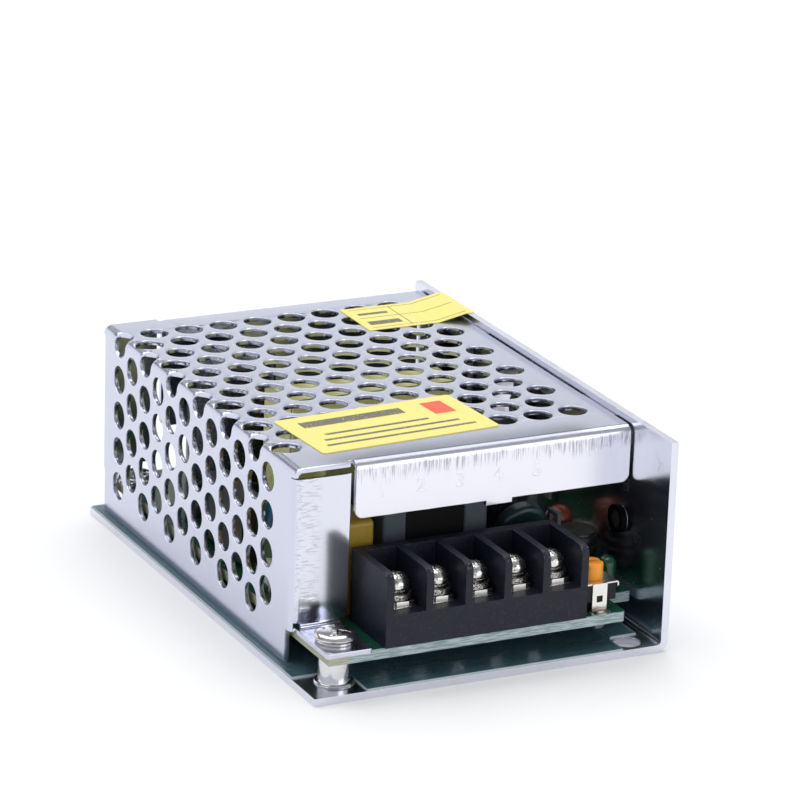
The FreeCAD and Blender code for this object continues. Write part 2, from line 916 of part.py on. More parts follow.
def make_lamp():
    """The green indicator lamp, a flanged lens with a round top."""
    x = right - lamp_from_right
    y = front + lamp_from_front
    flange = post(lamp_flange[0], x, y, board_top, board_top + lamp_flange[1])
    lens = post(lamp_radius, x, y, board_top, board_top + lamp_height - lamp_radius)
    dome = Part.makeSphere(lamp_radius, at(x, y, board_top + lamp_height - lamp_radius))
    legs = [lead(x, y + side * 0.9, board_top, 0.5, 0.5) for side in (-1, 1)]
    return join([flange, lens, dome] + legs)


# Parts that stand on the board

def make_box_capacitor(x0, y0, size, corner, lead_inset):
    """A potted box with rounded upright and upper edges."""
    width, depth, height = size
    body = block(x0, x0 + width, y0, y0 + depth, board_top, board_top + height)
    body = rounded(body, corner, Z)
    body = body.makeFillet(corner, [e for e in body.Edges if e.BoundBox.ZMin > board_top + height - 0.01])
    legs = [lead(x0 + width / 2, y0 + inset, board_top) for inset in (lead_inset, depth - lead_inset)]
    return join([body] + legs)


def make_can(x, y, size):
    """An electrolytic capacitor: a rolled groove near the bottom and a rim round the top."""
    radius, height, pitch = size
    low = board_top
    top = board_top + height
    groove_start, groove_middle, groove_end, groove_depth = can_groove
    rim_round, rim_inner, rim_foot, rim_depth = can_rim
    can = turned(
        [
            (0.0, low),
            (radius - can_edge, low),
            (radius, low + can_edge),
            (radius, low + groove_start),
            (radius - groove_depth, low + groove_middle),
            (radius, low + groove_end),
            (radius, top - rim_round),
            (radius - rim_round, top),
            (radius - rim_inner, top),
            (radius - rim_foot, top - rim_depth),
            (0.0, top - rim_depth),
        ],
        x,
        y,
    )
    legs = [lead(x + side * pitch / 2, y, low) for side in (-1, 1)]
    return join([can] + legs)


def make_disc(x, y, size):
    """A round coated disc on two leads, standing across X and leaning about X."""
    radius, sheet, height, tilt, pitch = size
    middle = board_top + height
    disc = rod(radius, at(x, y - sheet / 2, middle), at(x, y + sheet / 2, middle))
    disc = disc.makeFillet(sheet * 0.35, [e for e in disc.Edges if e.Closed])
    disc.rotate(at(x, y, middle), X, tilt)
    top = middle - radius * 0.6
    legs = [lead(x + side * pitch / 2, y, top, thin_lead, thin_lead) for side in (-1, 1)]
    return join([disc] + legs)


def make_bead(x, y):
    """A dipped capacitor: a bar with round ends on two leads."""
    radius = bead_radius
    low = board_top + bead_heights[0]
    top = board_top + bead_heights[1]
    bar = post(radius, x, y, low + radius, top - radius)
    ends = [Part.makeSphere(radius, at(x, y, z)) for z in (low + radius, top - radius)]
    legs = [lead(x, y + side * bead_pitch / 2, low + radius, thin_lead, thin_lead) for side in (-1, 1)]
    return join([bar] + ends + legs)


def make_drum(x, y):
    """A sleeved drum choke with shallow ribs round it."""
    radius, height, ribs = drum
    profile = [(0.0, board_top), (radius, board_top)]
    step = height / ribs
    for i in range(ribs):
        low = board_top + i * step
        inner = radius - drum_rib
        profile += [(radius, low + step * 0.7), (inner, low + step * 0.8), (inner, low + step)]
        profile.append((radius, low + step * 1.1))
    profile[-1] = (0.0, board_top + height)
    legs = [lead(x, y + side * drum_pitch / 2, board_top) for side in (-1, 1)]
    return join([turned(profile, x, y)] + legs)


def make_chip(x, y, size):
    """A dual in-line chip with its legs at the left and right."""
    width, depth, pins = size
    low = board_top + chip_lift
    top = low + chip_height
    body = block(x - width / 2, x + width / 2, y - depth / 2, y + depth / 2, low, top)
    body = body.makeChamfer(chip_chamfer, edges_along(body, Y, lambda middle: middle.z > top - 0.1))
    legs = []
    for i in range(pins // 2):
        leg_y = y + chip_pitch * (i - (pins // 2 - 1) / 2)
        for side in (-1, 1):
            leg_x = x + side * (width / 2 + chip_leg_gap)
            legs.append(lead(leg_x, leg_y, low + chip_leg_rise, lead_size, thin_lead))
    return join([body] + legs)


def make_axial(x0, span, y, size):
    """A resistor or diode lying between its two bent leads."""
    radius, height, body_length = size
    x1 = x0 + span
    z = board_top + height
    middle = (x0 + x1) / 2
    body = rod(radius, at(middle - body_length / 2, y, z), at(middle + body_length / 2, y, z))
    half = lead_size / 2
    bar = block(x0 - half, x1 + half, y - half, y + half, z - half, z + half)
    legs = [lead(x, y, z) for x in (x0, x1)]
    return join([body, bar] + legs)


def make_standing_resistor(x, y, size):
    """An upright resistor whose upper lead comes back down beside it."""
    radius, body_length, loop = size
    low = board_top + standing_lift
    top = low + body_length
    body = post(radius, x, y, low, top)
    tip = top + standing_loop_rise
    half = lead_size / 2
    stem = block(x - half, x + half, y - half, y + half, board_top, tip)
    bar = block(x - half, x + half, y - half, y + loop + half, tip - lead_size, tip)
    legs = [lead(x, y, board_top + standing_lift / 2), lead(x, y + loop, tip)]
    return join([body, stem, bar] + legs)


def make_fuse(x, y0, y1, radius):
    """A fuse lying along Y, with an end cap and a lead at each end."""
    z = board_top + radius + fuse_lift
    tube = rod(radius - 0.2, at(x, y0, z), at(x, y1, z))
    caps = [rod(radius, at(x, y, z), at(x, y + fuse_cap, z)) for y in (y0, y1 - fuse_cap)]
    lead_top = z - radius + 0.4
    legs = [lead(x, y, lead_top, fuse_lead[0], fuse_lead[1]) for y in (y0 + fuse_cap / 2, y1 - fuse_cap / 2)]
    return join([tube] + caps + legs)


def make_bridge(x, y0):
    """The flat bridge rectifier, standing along Y on four leads."""
    width, depth, height = bridge
    low = board_top + bridge_lift
    top = low + height
    y1 = y0 + depth
    body = block(x - width / 2, x + width / 2, y0, y1, low, top)
    corner = edges_along(body, X, lambda middle: middle.z > top - 0.1 and middle.y > y1 - 0.1)
    body = body.makeChamfer(bridge_chamfer, corner)
    step = (depth - 2 * bridge_lead_inset) / 3
    legs = [lead(x, y0 + bridge_lead_inset + step * i, low, lead_size, 1.0) for i in range(4)]
    return join([body] + legs)


# Line filter

def filter_spool_bar(x0, x1):
    """The square bar on which the copper is wound."""
    y = filter_front + filter_depth / 2
    z = board_top + filter_height / 2
    half = filter_spool / 2
    return block(x0, x1, y - half, y + half, z - half, z + half)


def make_filter_former():
    """Two end blocks joined by the spool that carries the windings."""
    right_x = filter_left + filter_width
    y1 = filter_front + filter_depth
    top = board_top + filter_height
    ends = [
        block(filter_left, filter_left + filter_end, filter_front, y1, board_top, top),
        block(right_x - filter_end, right_x, filter_front, y1, board_top, top),
    ]
    ends = [rounded(end, filter_end_corner, Z) for end in ends]
    spool = filter_spool_bar(filter_left + filter_spool_inset, right_x - filter_spool_inset)
    width, depth, height = filter_slot
    x = right_x - filter_end / 2
    slot_top = top - filter_slot_drop
    slot = block(
        x - width / 2, x + width / 2, filter_front - 1, filter_front + depth, slot_top - height, slot_top
    )
    legs = []
    inset_x, inset_y = filter_lead_inset
    for lead_x in (filter_left + inset_x, right_x - inset_x):
        for lead_y in (filter_front + inset_y, y1 - inset_y):
            legs.append(lead(lead_x, lead_y, board_top))
    return join(ends + [spool] + legs).cut(slot)


def make_filter_core():
    """The square ring of ferrite round the windings."""
    x0 = filter_left + filter_end
    x1 = filter_left + filter_width - filter_end
    y0 = filter_front + filter_core_inset
    y1 = filter_front + filter_depth - filter_core_inset
    z1 = board_top + filter_height - filter_core_inset
    wall = filter_core_wall
    ring = block(x0, x1, y0, y1, board_top, z1)
    return ring.cut(block(x0 - 1, x1 + 1, y0 + wall, y1 - wall, board_top + wall, z1 - wall))


def make_filter_winding():
    """The copper wound on the spool, inside the ring."""
    x0 = filter_left + filter_end
    x1 = filter_left + filter_width - filter_end
    wall = filter_core_wall + filter_gap
    y0 = filter_front + filter_core_inset + wall
    y1 = filter_front + filter_depth - filter_core_inset - wall
    z0 = board_top + wall
    z1 = board_top + filter_height - filter_core_inset - wall
    winding = rounded(block(x0, x1, y0, y1, z0, z1), filter_winding_corner, X)
    return winding.cut(filter_spool_bar(x0 - 1, x1 + 1))


# Transformer

def core_windows(grow):
    """The two windows of the core, above and below its middle leg."""
    x0 = core_left + core_leg
    x1 = core_left + core_width - core_leg
    y0 = core_front - grow
    y1 = core_front + core_depth + grow
    middle = core_low + core_height / 2
    half = core_middle_leg / 2
    return [
        block(x0, x1, y0, y1, middle + half, core_low + core_height - core_leg),
        block(x0, x1, y0, y1, core_low + core_leg, middle - half),
    ]


def make_core():
    x1 = core_left + core_width
    y1 = core_front + core_depth
    body = block(core_left, x1, core_front, y1, core_low, core_low + core_height)
    return body.cut(Part.makeCompound(core_windows(1)))


def make_core_tape():
    """The yellow tape wound once round the core's outside."""
    x1 = core_left + core_width
    z1 = core_low + core_height
    y0 = core_front + core_tape_inset
    y1 = core_front + core_depth - core_tape_inset
    outer = block(core_left - core_tape, x1 + core_tape, y0, y1, core_low - core_tape, z1 + core_tape)
    return outer.cut(block(core_left, x1, core_front, core_front + core_depth, core_low, z1))


def former_tube_bar(x0, x1, grow):
    """A bar along X that is larger than the core's middle leg all round."""
    y = core_front + core_depth / 2
    z = core_low + core_height / 2
    half_y = core_depth / 2 + grow
    half_z = core_middle_leg / 2 + grow
    return block(x0, x1, y - half_y, y + half_y, z - half_z, z + half_z)


def make_former():
    """The coil former: a tube round the middle leg, two flanges and two rails with pins."""
    gap = former_clearance
    x0 = core_left + core_leg + gap
    x1 = core_left + core_width - core_leg - gap
    low = core_low + core_leg + gap
    high = core_low + core_height - core_leg - gap
    y0 = front + former_from_front
    y1 = y0 + former_depth
    pieces = [former_tube_bar(x0, x1, gap + former_tube)]
    for x in (x0, x1 - former_flange):
        pieces.append(block(x, x + former_flange, y0, y1, low, high))
    rail_depth = former_beyond_core - former_rail_gap
    pins = []
    for rail in (y0, y1 - rail_depth):
        pieces.append(block(x0, x1, rail, rail + rail_depth, board_top, low + 1.0))
        for i in range(former_pin_count):
            pins.append(lead(x0 + former_pin_inset + i * former_pin_pitch, rail + rail_depth / 2, board_top))
    return join(pieces + pins).cut(former_tube_bar(x0 - 1, x1 + 1, gap))


def make_winding():
    """The taped winding between the former's flanges."""
    x0 = core_left + core_leg + former_clearance + former_flange
    x1 = core_left + core_width - core_leg - former_clearance - former_flange
    y0 = front + former_from_front + winding_inset
    y1 = y0 + former_depth - 2 * winding_inset
    low = core_low + core_leg + former_clearance + winding_gap[0]
    high = core_low + core_height - core_leg - former_clearance - winding_gap[1]
    body = rounded(block(x0, x1, y0, y1, low, high), winding_corner, X)
    return body.cut(former_tube_bar(x0 - 1, x1 + 1, former_clearance + former_tube))


# Power devices on the right wall

def make_power_device(offset):
    """A flat power package against the wall, with a metal tab above and three leads below."""
    y = front + offset
    width, thick, height = power_body
    y0 = y - width / 2
    y1 = y + width / 2
    top = power_low + height
    body = block(power_back - thick, power_back, y0, y1, power_low, top)
    corner = edges_along(body, Y, lambda middle: middle.z > top - 0.1 and middle.x < power_back - 1)
    body = body.makeChamfer(power_chamfer, corner)
    tab = block(power_back - power_tab[0], power_back, y0, y1, top - 0.5, top + power_tab[1])
    z = power_hole_height
    hole = rod(power_hole, at(power_back - thick, y, z), at(power_back + 1, y, z))
    x = power_back - power_lead_depth
    legs = []
    for step in (-1, 0, 1):
        legs.append(lead(x, y + step * power_lead_pitch, power_low, power_lead[0], power_lead[1]))
    return join([body, tab] + legs).cut(hole)


def make_pads():
    """Two insulating pads between the power devices and the wall."""
    pads = []
    for offset in power_places:
        y = front + offset
        half = power_body[0] / 2 + pad_margin
        top = power_low + power_body[2] + power_tab[1]
        pad = block(power_back, wall_inside, y - half, y + half, power_low - pad_margin, top + pad_margin)
        hole = rod(power_hole, at(power_back - 1, y, power_hole_height), at(right, y, power_hole_height))
        pads.append(pad.cut(hole))
    return Part.makeCompound(pads)


def make_wall_screws():
    """Two pan head screws that hold the power devices to the wall."""
    screws = []
    for offset in power_places:
        y = front + offset
        z = power_hole_height
        seat = power_back - power_tab[0]
        head = rod(wall_head_radius, at(seat - wall_head_height, y, z), at(seat, y, z))
        outer = seat - wall_head_height
        head = head.makeFillet(wall_head_edge, [e for e in head.Edges if e.BoundBox.XMax < outer + 0.1])
        shank = rod(tapped_radius - shank_clearance, at(seat, y, z), at(right - 0.1, y, z))
        half = wall_slot[0] / 2
        reach = wall_head_radius + 1
        slot = block(outer - 1, outer + wall_slot[1], y - half, y + half, z - reach, z + reach)
        screws.append(join([head, shank]).cut(slot))
    return Part.makeCompound(screws)


# Labels

def make_front_label():
    """The yellow label on the top, stuck on a little turned."""
    width, depth = front_label
    x, y = left + front_label_centre[0], front + front_label_centre[1]
    x0 = x - width / 2
    y0 = y - depth / 2
    label = block(x0, x0 + width, y0, y0 + depth, cover_top, cover_top + label_sheet)
    label = rounded(label, 0.5, Z)
    label.rotate(at(x, y, 0), Z, front_label_turn)
    return label


def make_rear_label():
    """The yellow label that bridges from the cover to the top of the wall."""
    width, depth = rear_label
    y = rear - rear_label_from_rear
    low = [
        (right - width, cover_top),
        (wall_inside - rear_label_rise, cover_top),
        (wall_inside, case_height),
        (right, case_height),
    ]
    high = [(x, z + label_sheet) for x, z in reversed(low)]
    return prism([at(x, y, z) for x, z in low + high], Y * depth)


nodes = {
    "chassis": make_chassis(),
    "cover": make_cover(),
    "insulating_film": make_film(),
    "board_pillars": make_pillars(),
    "board_screws": make_board_screws(),
    "terminal_block": make_terminal_block(),
}
for number, bay_x in enumerate(bay_centres, 1):
    nodes["terminal_plate_%d" % number] = make_terminal_plate(bay_x)
    nodes["square_washer_%d" % number] = make_square_washer(bay_x)
    nodes["spring_washer_%d" % number] = make_spring_washer(bay_x)
    nodes["terminal_screw_%d" % number] = make_terminal_screw(bay_x)
nodes["trimmer_base"] = make_trimmer_base()
nodes["trimmer_strap"] = make_trimmer_strap()
nodes["trimmer_rotor"] = make_trimmer_rotor()
nodes["indicator_lamp"] = make_lamp()
nodes["filter_capacitor"] = make_box_capacitor(
    left + line_capacitor_from_left,
    front + line_capacitor_from_front,
    line_capacitor,
    line_capacitor_corner,
    line_capacitor_lead_inset,
)
nodes["filter_former"] = make_filter_former()
nodes["filter_core"] = make_filter_core()
nodes["filter_winding"] = make_filter_winding()
nodes["disc_capacitor"] = make_disc(output_x - disc_before_output, front + disc_from_front, disc_capacitor)
nodes["thermistor"] = make_disc(left + thermistor_from_left, front + thermistor_from_front, thermistor)
nodes["dipped_capacitor"] = make_bead(right - bead_from_right, front + bead_from_front)
nodes["drum_choke"] = make_drum(right - drum_from_right, front + drum_from_front)
for number, offset in enumerate(output_from_front, 1):
    nodes["output_capacitor_%d" % number] = make_can(output_x, front + offset, output_can)
nodes["bulk_capacitor"] = make_can(
    left + bulk_from_left, rear - bulk_from_rear, (bulk_radius, bulk_height, bulk_pitch)
)
nodes["small_capacitor"] = make_can(left + small_from_left, rear - small_from_rear, small_can)
nodes["transformer_core"] = make_core()
nodes["transformer_tape"] = make_core_tape()
nodes["transformer_former"] = make_former()
nodes["transformer_winding"] = make_winding()
nodes["rectifier"] = make_power_device(power_places[0])
nodes["transistor"] = make_power_device(power_places[1])
nodes["insulating_pads"] = make_pads()
nodes["wall_screws"] = make_wall_screws()
nodes["bridge_rectifier"] = make_bridge(left + bridge_from_left, front + bridge_from_front)
nodes["fuse"] = make_fuse(
    left + fuse_from_left, front + fuse_from_front[0], front + fuse_from_front[1], fuse_radius
)
nodes["controller_chip"] = make_chip(left + controller_from_left, rear - controller_from_rear, controller)
nodes["optocoupler"] = make_chip(
    output_x - optocoupler_before_output, front + optocoupler_from_front, optocoupler
)
resistors = [
    make_standing_resistor(
        wall_inside - standing_resistor_from_wall, front + standing_resistor_from_front, standing_resistor
    ),
    make_axial(
        left + front_resistor_from_left, resistor_span, front + front_resistor_from_front, small_resistor
    ),
    make_axial(left + rear_resistor_from_left, resistor_span, rear - rear_resistor_from_rear, small_resistor),
]
nodes["resistors"] = Part.makeCompound(resistors)
diodes = [
    make_axial(
        output_x - large_diode_before_output, large_diode_span, front + large_diode_from_front, large_diode
    ),
    make_axial(left + small_diode_from_left, small_diode_span, front + small_diode_from_front, small_diode),
]
nodes["diodes"] = Part.makeCompound(diodes)
nodes["front_label"] = make_front_label()
nodes["rear_label"] = make_rear_label()
nodes["circuit_board"] = make_board()

for name, shape in nodes.items():
    shape.exportStep("parts/" + name + ".step")
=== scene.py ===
import json
import math

import bmesh
import bpy
from bpy.props import FloatProperty, FloatVectorProperty, IntProperty, PointerProperty
from mathutils import Matrix, Vector

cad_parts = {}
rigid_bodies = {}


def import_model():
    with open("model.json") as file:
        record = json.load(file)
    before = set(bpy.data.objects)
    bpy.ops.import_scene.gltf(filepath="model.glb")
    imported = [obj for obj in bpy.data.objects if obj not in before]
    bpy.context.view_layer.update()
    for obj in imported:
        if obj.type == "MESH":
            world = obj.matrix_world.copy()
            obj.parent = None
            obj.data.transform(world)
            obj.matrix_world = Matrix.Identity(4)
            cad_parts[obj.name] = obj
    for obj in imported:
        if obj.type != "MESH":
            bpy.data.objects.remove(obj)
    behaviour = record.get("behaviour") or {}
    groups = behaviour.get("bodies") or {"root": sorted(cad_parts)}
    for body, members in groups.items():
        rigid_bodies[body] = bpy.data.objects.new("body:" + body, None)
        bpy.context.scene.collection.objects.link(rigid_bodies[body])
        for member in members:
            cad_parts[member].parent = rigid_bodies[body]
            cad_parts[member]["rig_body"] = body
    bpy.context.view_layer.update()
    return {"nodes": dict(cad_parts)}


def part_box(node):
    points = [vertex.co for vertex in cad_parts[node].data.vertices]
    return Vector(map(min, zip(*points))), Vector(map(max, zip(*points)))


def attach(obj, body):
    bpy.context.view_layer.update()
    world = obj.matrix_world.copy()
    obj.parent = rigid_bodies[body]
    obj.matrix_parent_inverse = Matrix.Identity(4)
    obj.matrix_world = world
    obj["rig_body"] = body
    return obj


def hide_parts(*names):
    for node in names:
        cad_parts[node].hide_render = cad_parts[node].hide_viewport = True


bl_info = {
    "name": "Mesh case power supply finishes",
    "version": (1, 0, 0),
    "blender": (4, 5, 0),
    "location": "3D View > Sidebar > Power Supply",
    "description": "Builds the visible pieces and finishes of a mesh case power supply",
    "category": "Object",
}

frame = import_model()

MM = 0.001
TOUCH = 1e-5
ROOM_TURNS_DARKER = (0.328, 0.43)
AXIS_X = Vector((1.0, 0.0, 0.0))
AXIS_Y = Vector((0.0, 1.0, 0.0))
AXIS_Z = Vector((0.0, 0.0, 1.0))


# Sizes and colours that a user would change

def length(name, description, default):
    """A length, given in millimetres."""
    return FloatProperty(name=name, description=description, default=default * MM, unit="LENGTH")


def angle(name, description, default):
    """An angle, given in degrees."""
    return FloatProperty(name=name, description=description, default=math.radians(default), unit="ROTATION")


def paint(name, description, default):
    return FloatVectorProperty(name=name, description=description, default=default, subtype="COLOR")


def strength(name, description, default):
    return FloatProperty(name=name, description=description, default=default)


class SupplySizes(bpy.types.PropertyGroup):
    """Sizes of the pieces that are made here."""

    hole_diameter: length("Hole diameter", "Diameter of the cover's holes", 4.4)
    hole_pitch: length("Hole pitch", "Distance between neighbouring holes", 5.9)
    hole_sides: IntProperty(
        name="Hole sides", description="Straight sides of each hole", default=28, min=8
    )
    hole_rim: length("Hole rim", "Width of each hole's rounded rim", 0.11)
    edge_round: length("Edge round", "Rounding of the moulded and cut edges", 0.12)


class SupplyColours(bpy.types.PropertyGroup):
    """Colours of the finishes."""

    cover: paint("Cover", "Satin aluminium of the cover", (0.62, 0.64, 0.76))
    chassis: paint("Chassis", "Bright aluminium of the chassis", (0.74, 0.75, 0.84))
    board: paint("Board", "Solder mask of the board", (0.008, 0.075, 0.045))
    terminal_block: paint("Terminal block", "Moulding of the terminals", (0.005, 0.0068, 0.0155))
    label: paint("Label", "Paper of the two labels", (0.92, 0.80, 0.22))
    rotor: paint("Rotor", "Rotor of the trimmer", (0.93, 0.34, 0.02))
    lamp: paint("Lamp", "Lens of the indicator lamp", (0.0, 0.060, 0.022))


class SupplyStage(bpy.types.PropertyGroup):
    """The camera and the lights."""

    azimuth: angle("Azimuth", "Direction of view round the object", -26.6698)
    elevation: angle("Elevation", "Height of the view", 18.8289)
    roll: angle("Roll", "Turn of the camera about its view", 1.9719)
    place: FloatVectorProperty(
        name="Camera place",
        description="Where it stands",
        default=(-0.275788, -0.557746, 0.241721),
        subtype="XYZ",
    )
    lens: FloatProperty(name="Lens", description="Focal length in millimetres", default=194.283)
    room_light: strength("Room light", "Brightness near the floor", 1.10)
    ceiling_light: strength("Ceiling light", "Brightness higher up", 0.42)
    back_light: strength("Back light", "Brightness high up behind the object", 0.18)
    key_light: strength("Key light", "Strength of the light from above", 2.3)
    front_light: strength("Front light", "Strength of the light from the front", 0.35)


def sizes():
    return bpy.context.scene.supply_sizes


def colours():
    return bpy.context.scene.supply_colours


# Materials

class Value:
    """An output of a material's node, which sums and products can use like a number."""

    def __init__(self, finish, socket):
        self.finish = finish
        self.socket = socket

    def math(self, operation, *values):
        return self.finish.node("ShaderNodeMath", {"operation": operation}, dict(enumerate(values)))

    def __add__(self, other):
        return self.math("ADD", self, other)

    __radd__ = __add__

    def __mul__(self, other):
        return self.math("MULTIPLY", self, other)

    __rmul__ = __mul__

    def __sub__(self, other):
        return self.math("SUBTRACT", self, other)

    def __rsub__(self, other):
        return self.math("SUBTRACT", other, self)

    def __abs__(self):
        return self.math("ABSOLUTE", self)

    def __lt__(self, other):
        return self.math("LESS_THAN", self, other)

    def __gt__(self, other):
        return self.math("GREATER_THAN", self, other)

    def either(self, other):
        """The larger of two values."""
        return self.math("MAXIMUM", self, other)

    def ramp(self, low, high):
        """From 0 at one value to 1 at another, smoothly."""
        ends = {"Value": self, "From Min": low, "From Max": high}
        return self.finish.node("ShaderNodeMapRange", {"interpolation_type": "SMOOTHSTEP"}, ends)


class Nodes:
    """The nodes of a material or of the room."""

    def __init__(self, owner, shader):
        owner.use_nodes = True
        self.tree = owner.node_tree
        self.shader = self.tree.nodes[shader]

    def feed(self, socket, value):
        if isinstance(value, Value):
            self.tree.links.new(value.socket, socket)
        elif socket.type == "RGBA" and len(value) == 3:
            socket.default_value = (*value, 1.0)
        else:
            socket.default_value = value

    def set(self, name, value):
        """Gives one of the shader's sockets a constant or a value."""
        self.feed(self.shader.inputs[name], value)

    def node(self, kind, settings, inputs, output=0):
        """Adds a node: its settings first, then its sockets."""
        made = self.tree.nodes.new(kind)
        for setting, value in settings.items():
            setattr(made, setting, value)
        for socket, value in inputs.items():
            self.feed(made.inputs[socket], value)
        return Value(self, made.outputs[output])

    def part(self, vector, axis):
        """One of the three parts of a place or a direction."""
        return self.node("ShaderNodeSeparateXYZ", {}, {"Vector": vector}, axis)


class Finish(Nodes):
    """A procedural material, with lengths in millimetres."""

    def __init__(self, name, colour, roughness=0.5, metallic=0.0, **constants):
        self.material = bpy.data.materials.new(name)
        super().__init__(self.material, "Principled BSDF")
        self.coordinates = None
        self.set("Base Color", colour)
        self.set("Roughness", roughness)
        self.set("Metallic", metallic)
        for socket, value in constants.items():
            self.set(socket.replace("_", " "), value)

    def place(self, stretch=(1.0, 1.0, 1.0)):
        """Object coordinates in millimetres, stretched along the axes."""
        if self.coordinates is None:
            self.coordinates = self.node("ShaderNodeTexCoord", {}, {}, "Object")
        inputs = {0: self.coordinates, 1: tuple(part / MM for part in stretch)}
        return self.node("ShaderNodeVectorMath", {"operation": "MULTIPLY"}, inputs)

    def along(self, axis):
        """One coordinate in millimetres."""
        return self.part(self.place(), axis)

    def facing(self, axis):
        """One part of the surface's direction."""
        return self.part(self.node("ShaderNodeTexCoord", {}, {}, "Normal"), axis)

    def noise(self, size, detail=3.0, stretch=(1.0, 1.0, 1.0)):
        """Cloudy variation from 0 to 1, with patches of a size in millimetres."""
        inputs = {"Vector": self.place(stretch), "Scale": 1.0 / size, "Detail": detail}
        return self.node("ShaderNodeTexNoise", {}, inputs)

    def mix(self, factor, first, second):
        """A colour between two colours."""
        return self.node("ShaderNodeMix", {"data_type": "RGBA"}, {0: factor, 6: first, 7: second}, 2)

    def bump(self, height, strength, depth):
        """Relief of a depth in millimetres."""
        inputs = {"Strength": strength, "Distance": depth * MM, "Height": height}
        self.set("Normal", self.node("ShaderNodeBump", {}, inputs))


def shade(colour, amount):
    """A colour made lighter or darker."""
    return tuple(min(1.0, part * amount) for part in colour)


def metal(name, colour, roughness, spread, patch, grain, relief, stretch=(1.0, 1.0, 1.0)):
    """Bare metal: patches of tone, a directional grain and fine relief."""
    finish = Finish(name, colour, roughness, 1.0)
    cloud = finish.noise(patch, 4.0)
    lines = finish.noise(grain, 3.0, stretch)
    finish.set("Base Color", finish.mix(cloud, shade(colour, 0.90), shade(colour, 1.10)))
    finish.set("Roughness", cloud * spread + lines * spread + (roughness - spread))
    finish.bump(lines, 0.25, relief)
    return finish


def plastic(name, colour, roughness, grain, relief, variation=0.12, **constants):
    """Moulded plastic: slight changes of tone and a fine surface grain."""
    finish = Finish(name, colour, roughness, 0.0, **constants)
    cloud = finish.noise(6.0)
    fine = finish.noise(grain, 2.0)
    finish.set("Base Color", finish.mix(cloud, shade(colour, 1 - variation), shade(colour, 1 + variation)))
    finish.set("Roughness", fine * 0.12 + (roughness - 0.06))
    finish.bump(fine, 0.4, relief)
    return finish


def cover_finish():
    colour = tuple(colours().cover)
    finish = Finish("cover_satin_aluminium", colour, 0.3, 1.0)
    cloud = finish.noise(14.0, 4.0)
    fine = finish.noise(0.12, 2.0)
    x, y, z = (finish.along(axis) for axis in "XYZ")
    folded_front = 1 - y.ramp(COVER_FRONT + 0.05, COVER_FRONT + 0.6)
    # The fold leaves short draw marks below the bend of the flap and level ones across the tab
    reach = finish.noise(0.9, 3.0, (1.0, 1.0, 0.02)) * 4.5
    below = COVER_TOP - OUTER_BEND * 0.6 - z
    near_bend = (1 - (below - reach).ramp(-1.2, 0.6)) * below.ramp(-0.3, 0.2)
    down = finish.noise(0.24, 3.0, (1.0, 1.0, 0.06)).ramp(0.44, 0.66) * near_bend
    on_tab = x < TAB_RIGHT
    on_flap = folded_front * (1 - on_tab)
    along_fold = 1 - x.ramp(BEND_LEFT + 1.8, BEND_LEFT + 3.6)
    across = finish.noise(0.26, 3.0, (0.16, 1.0, 1.0)).ramp(0.51, 0.62) * on_tab * along_fold
    marks = folded_front * (down * (1 - on_tab) + across * 0.55)
    # Painted shade: the top is darker in a band next to the fold of the flap
    beside_fold = (1 - y.ramp(COVER_FRONT + 0.8, COVER_FRONT + 6.5)) * (z > COVER_TOP - 0.3)
    painted_lighting = beside_fold * x.ramp(BEND_LEFT + 1.0, BEND_LEFT + 9.0) * (1 - x.ramp(18.0, 24.0))
    tone = finish.mix(cloud, shade(colour, 0.96), shade(colour, 1.05))
    tone = finish.mix(painted_lighting * 0.85, tone, shade(colour, 0.50))
    # Painted light: the flap and the upper part of the tab are made paler
    on_upper_tab = folded_front * on_tab * z.ramp(BOARD_TOP + 2.0, BOARD_TOP + 6.0)
    painted_light_flap_and_tab = finish.mix(on_flap * 0.85 + on_upper_tab * 0.45, tone, (0.86, 0.86, 0.92))
    finish.set("Base Color", finish.mix(marks * 0.8, painted_light_flap_and_tab, (0.36, 0.35, 0.42)))
    worked = on_flap * 0.01 + marks * 0.12 - folded_front * on_tab * 0.08
    finish.set("Roughness", cloud * 0.06 + fine * 0.05 + worked + 0.17)
    finish.bump(fine * 0.5 - marks, 0.12, 0.02)
    return finish


def chassis_finish():
    colour = tuple(colours().chassis)
    finish = Finish("chassis_bright_aluminium", colour, 0.16, 1.0)
    cloud = finish.noise(16.0, 5.0)
    rolled = finish.noise(0.4, 3.0, (1.0, 0.04, 1.0))
    smudge = finish.noise(5.0, 4.0).ramp(0.50, 0.72)
    tone = finish.mix(cloud, shade(colour, 0.93), shade(colour, 1.08))
    # Painted shade: the inner face of the wall is made near black from a little below its pressed-in
    # threads upwards
    inside_wall = finish.along("X") < CASE_RIGHT - CHASSIS_SHEET - 0.02
    painted_wall_shade = inside_wall * (finish.along("Z") > WALL_THREAD_HEIGHT - 6.5)
    bare = finish.mix(smudge * 0.25, tone, shade(colour, 0.75))
    finish.set("Base Color", finish.mix(painted_wall_shade, bare, (0.006, 0.006, 0.008)))
    finish.set("Roughness", rolled * 0.10 + smudge * 0.10 + painted_wall_shade * 0.4 + 0.15)
    finish.bump(rolled, 0.10, 0.015)
    return finish


def worn_nickel_finish():
    """Nickel plating that is worn, scratched and dull in the hollows."""
    finish = Finish("terminal_screw_worn_nickel", (0.62, 0.60, 0.58), 0.25, 1.0)
    cloud = finish.noise(0.9, 5.0)
    pits = finish.noise(0.36, 4.0)
    dull = pits.ramp(0.48, 0.62)
    bright = finish.mix(cloud, (0.55, 0.53, 0.51), (0.85, 0.84, 0.82))
    finish.set("Base Color", finish.mix(dull * 0.8, bright, (0.10, 0.095, 0.09)))
    finish.set("Roughness", dull * 0.25 + cloud * 0.12 + 0.10)
    finish.bump(pits + cloud, 0.4, 0.05)
    return finish.material


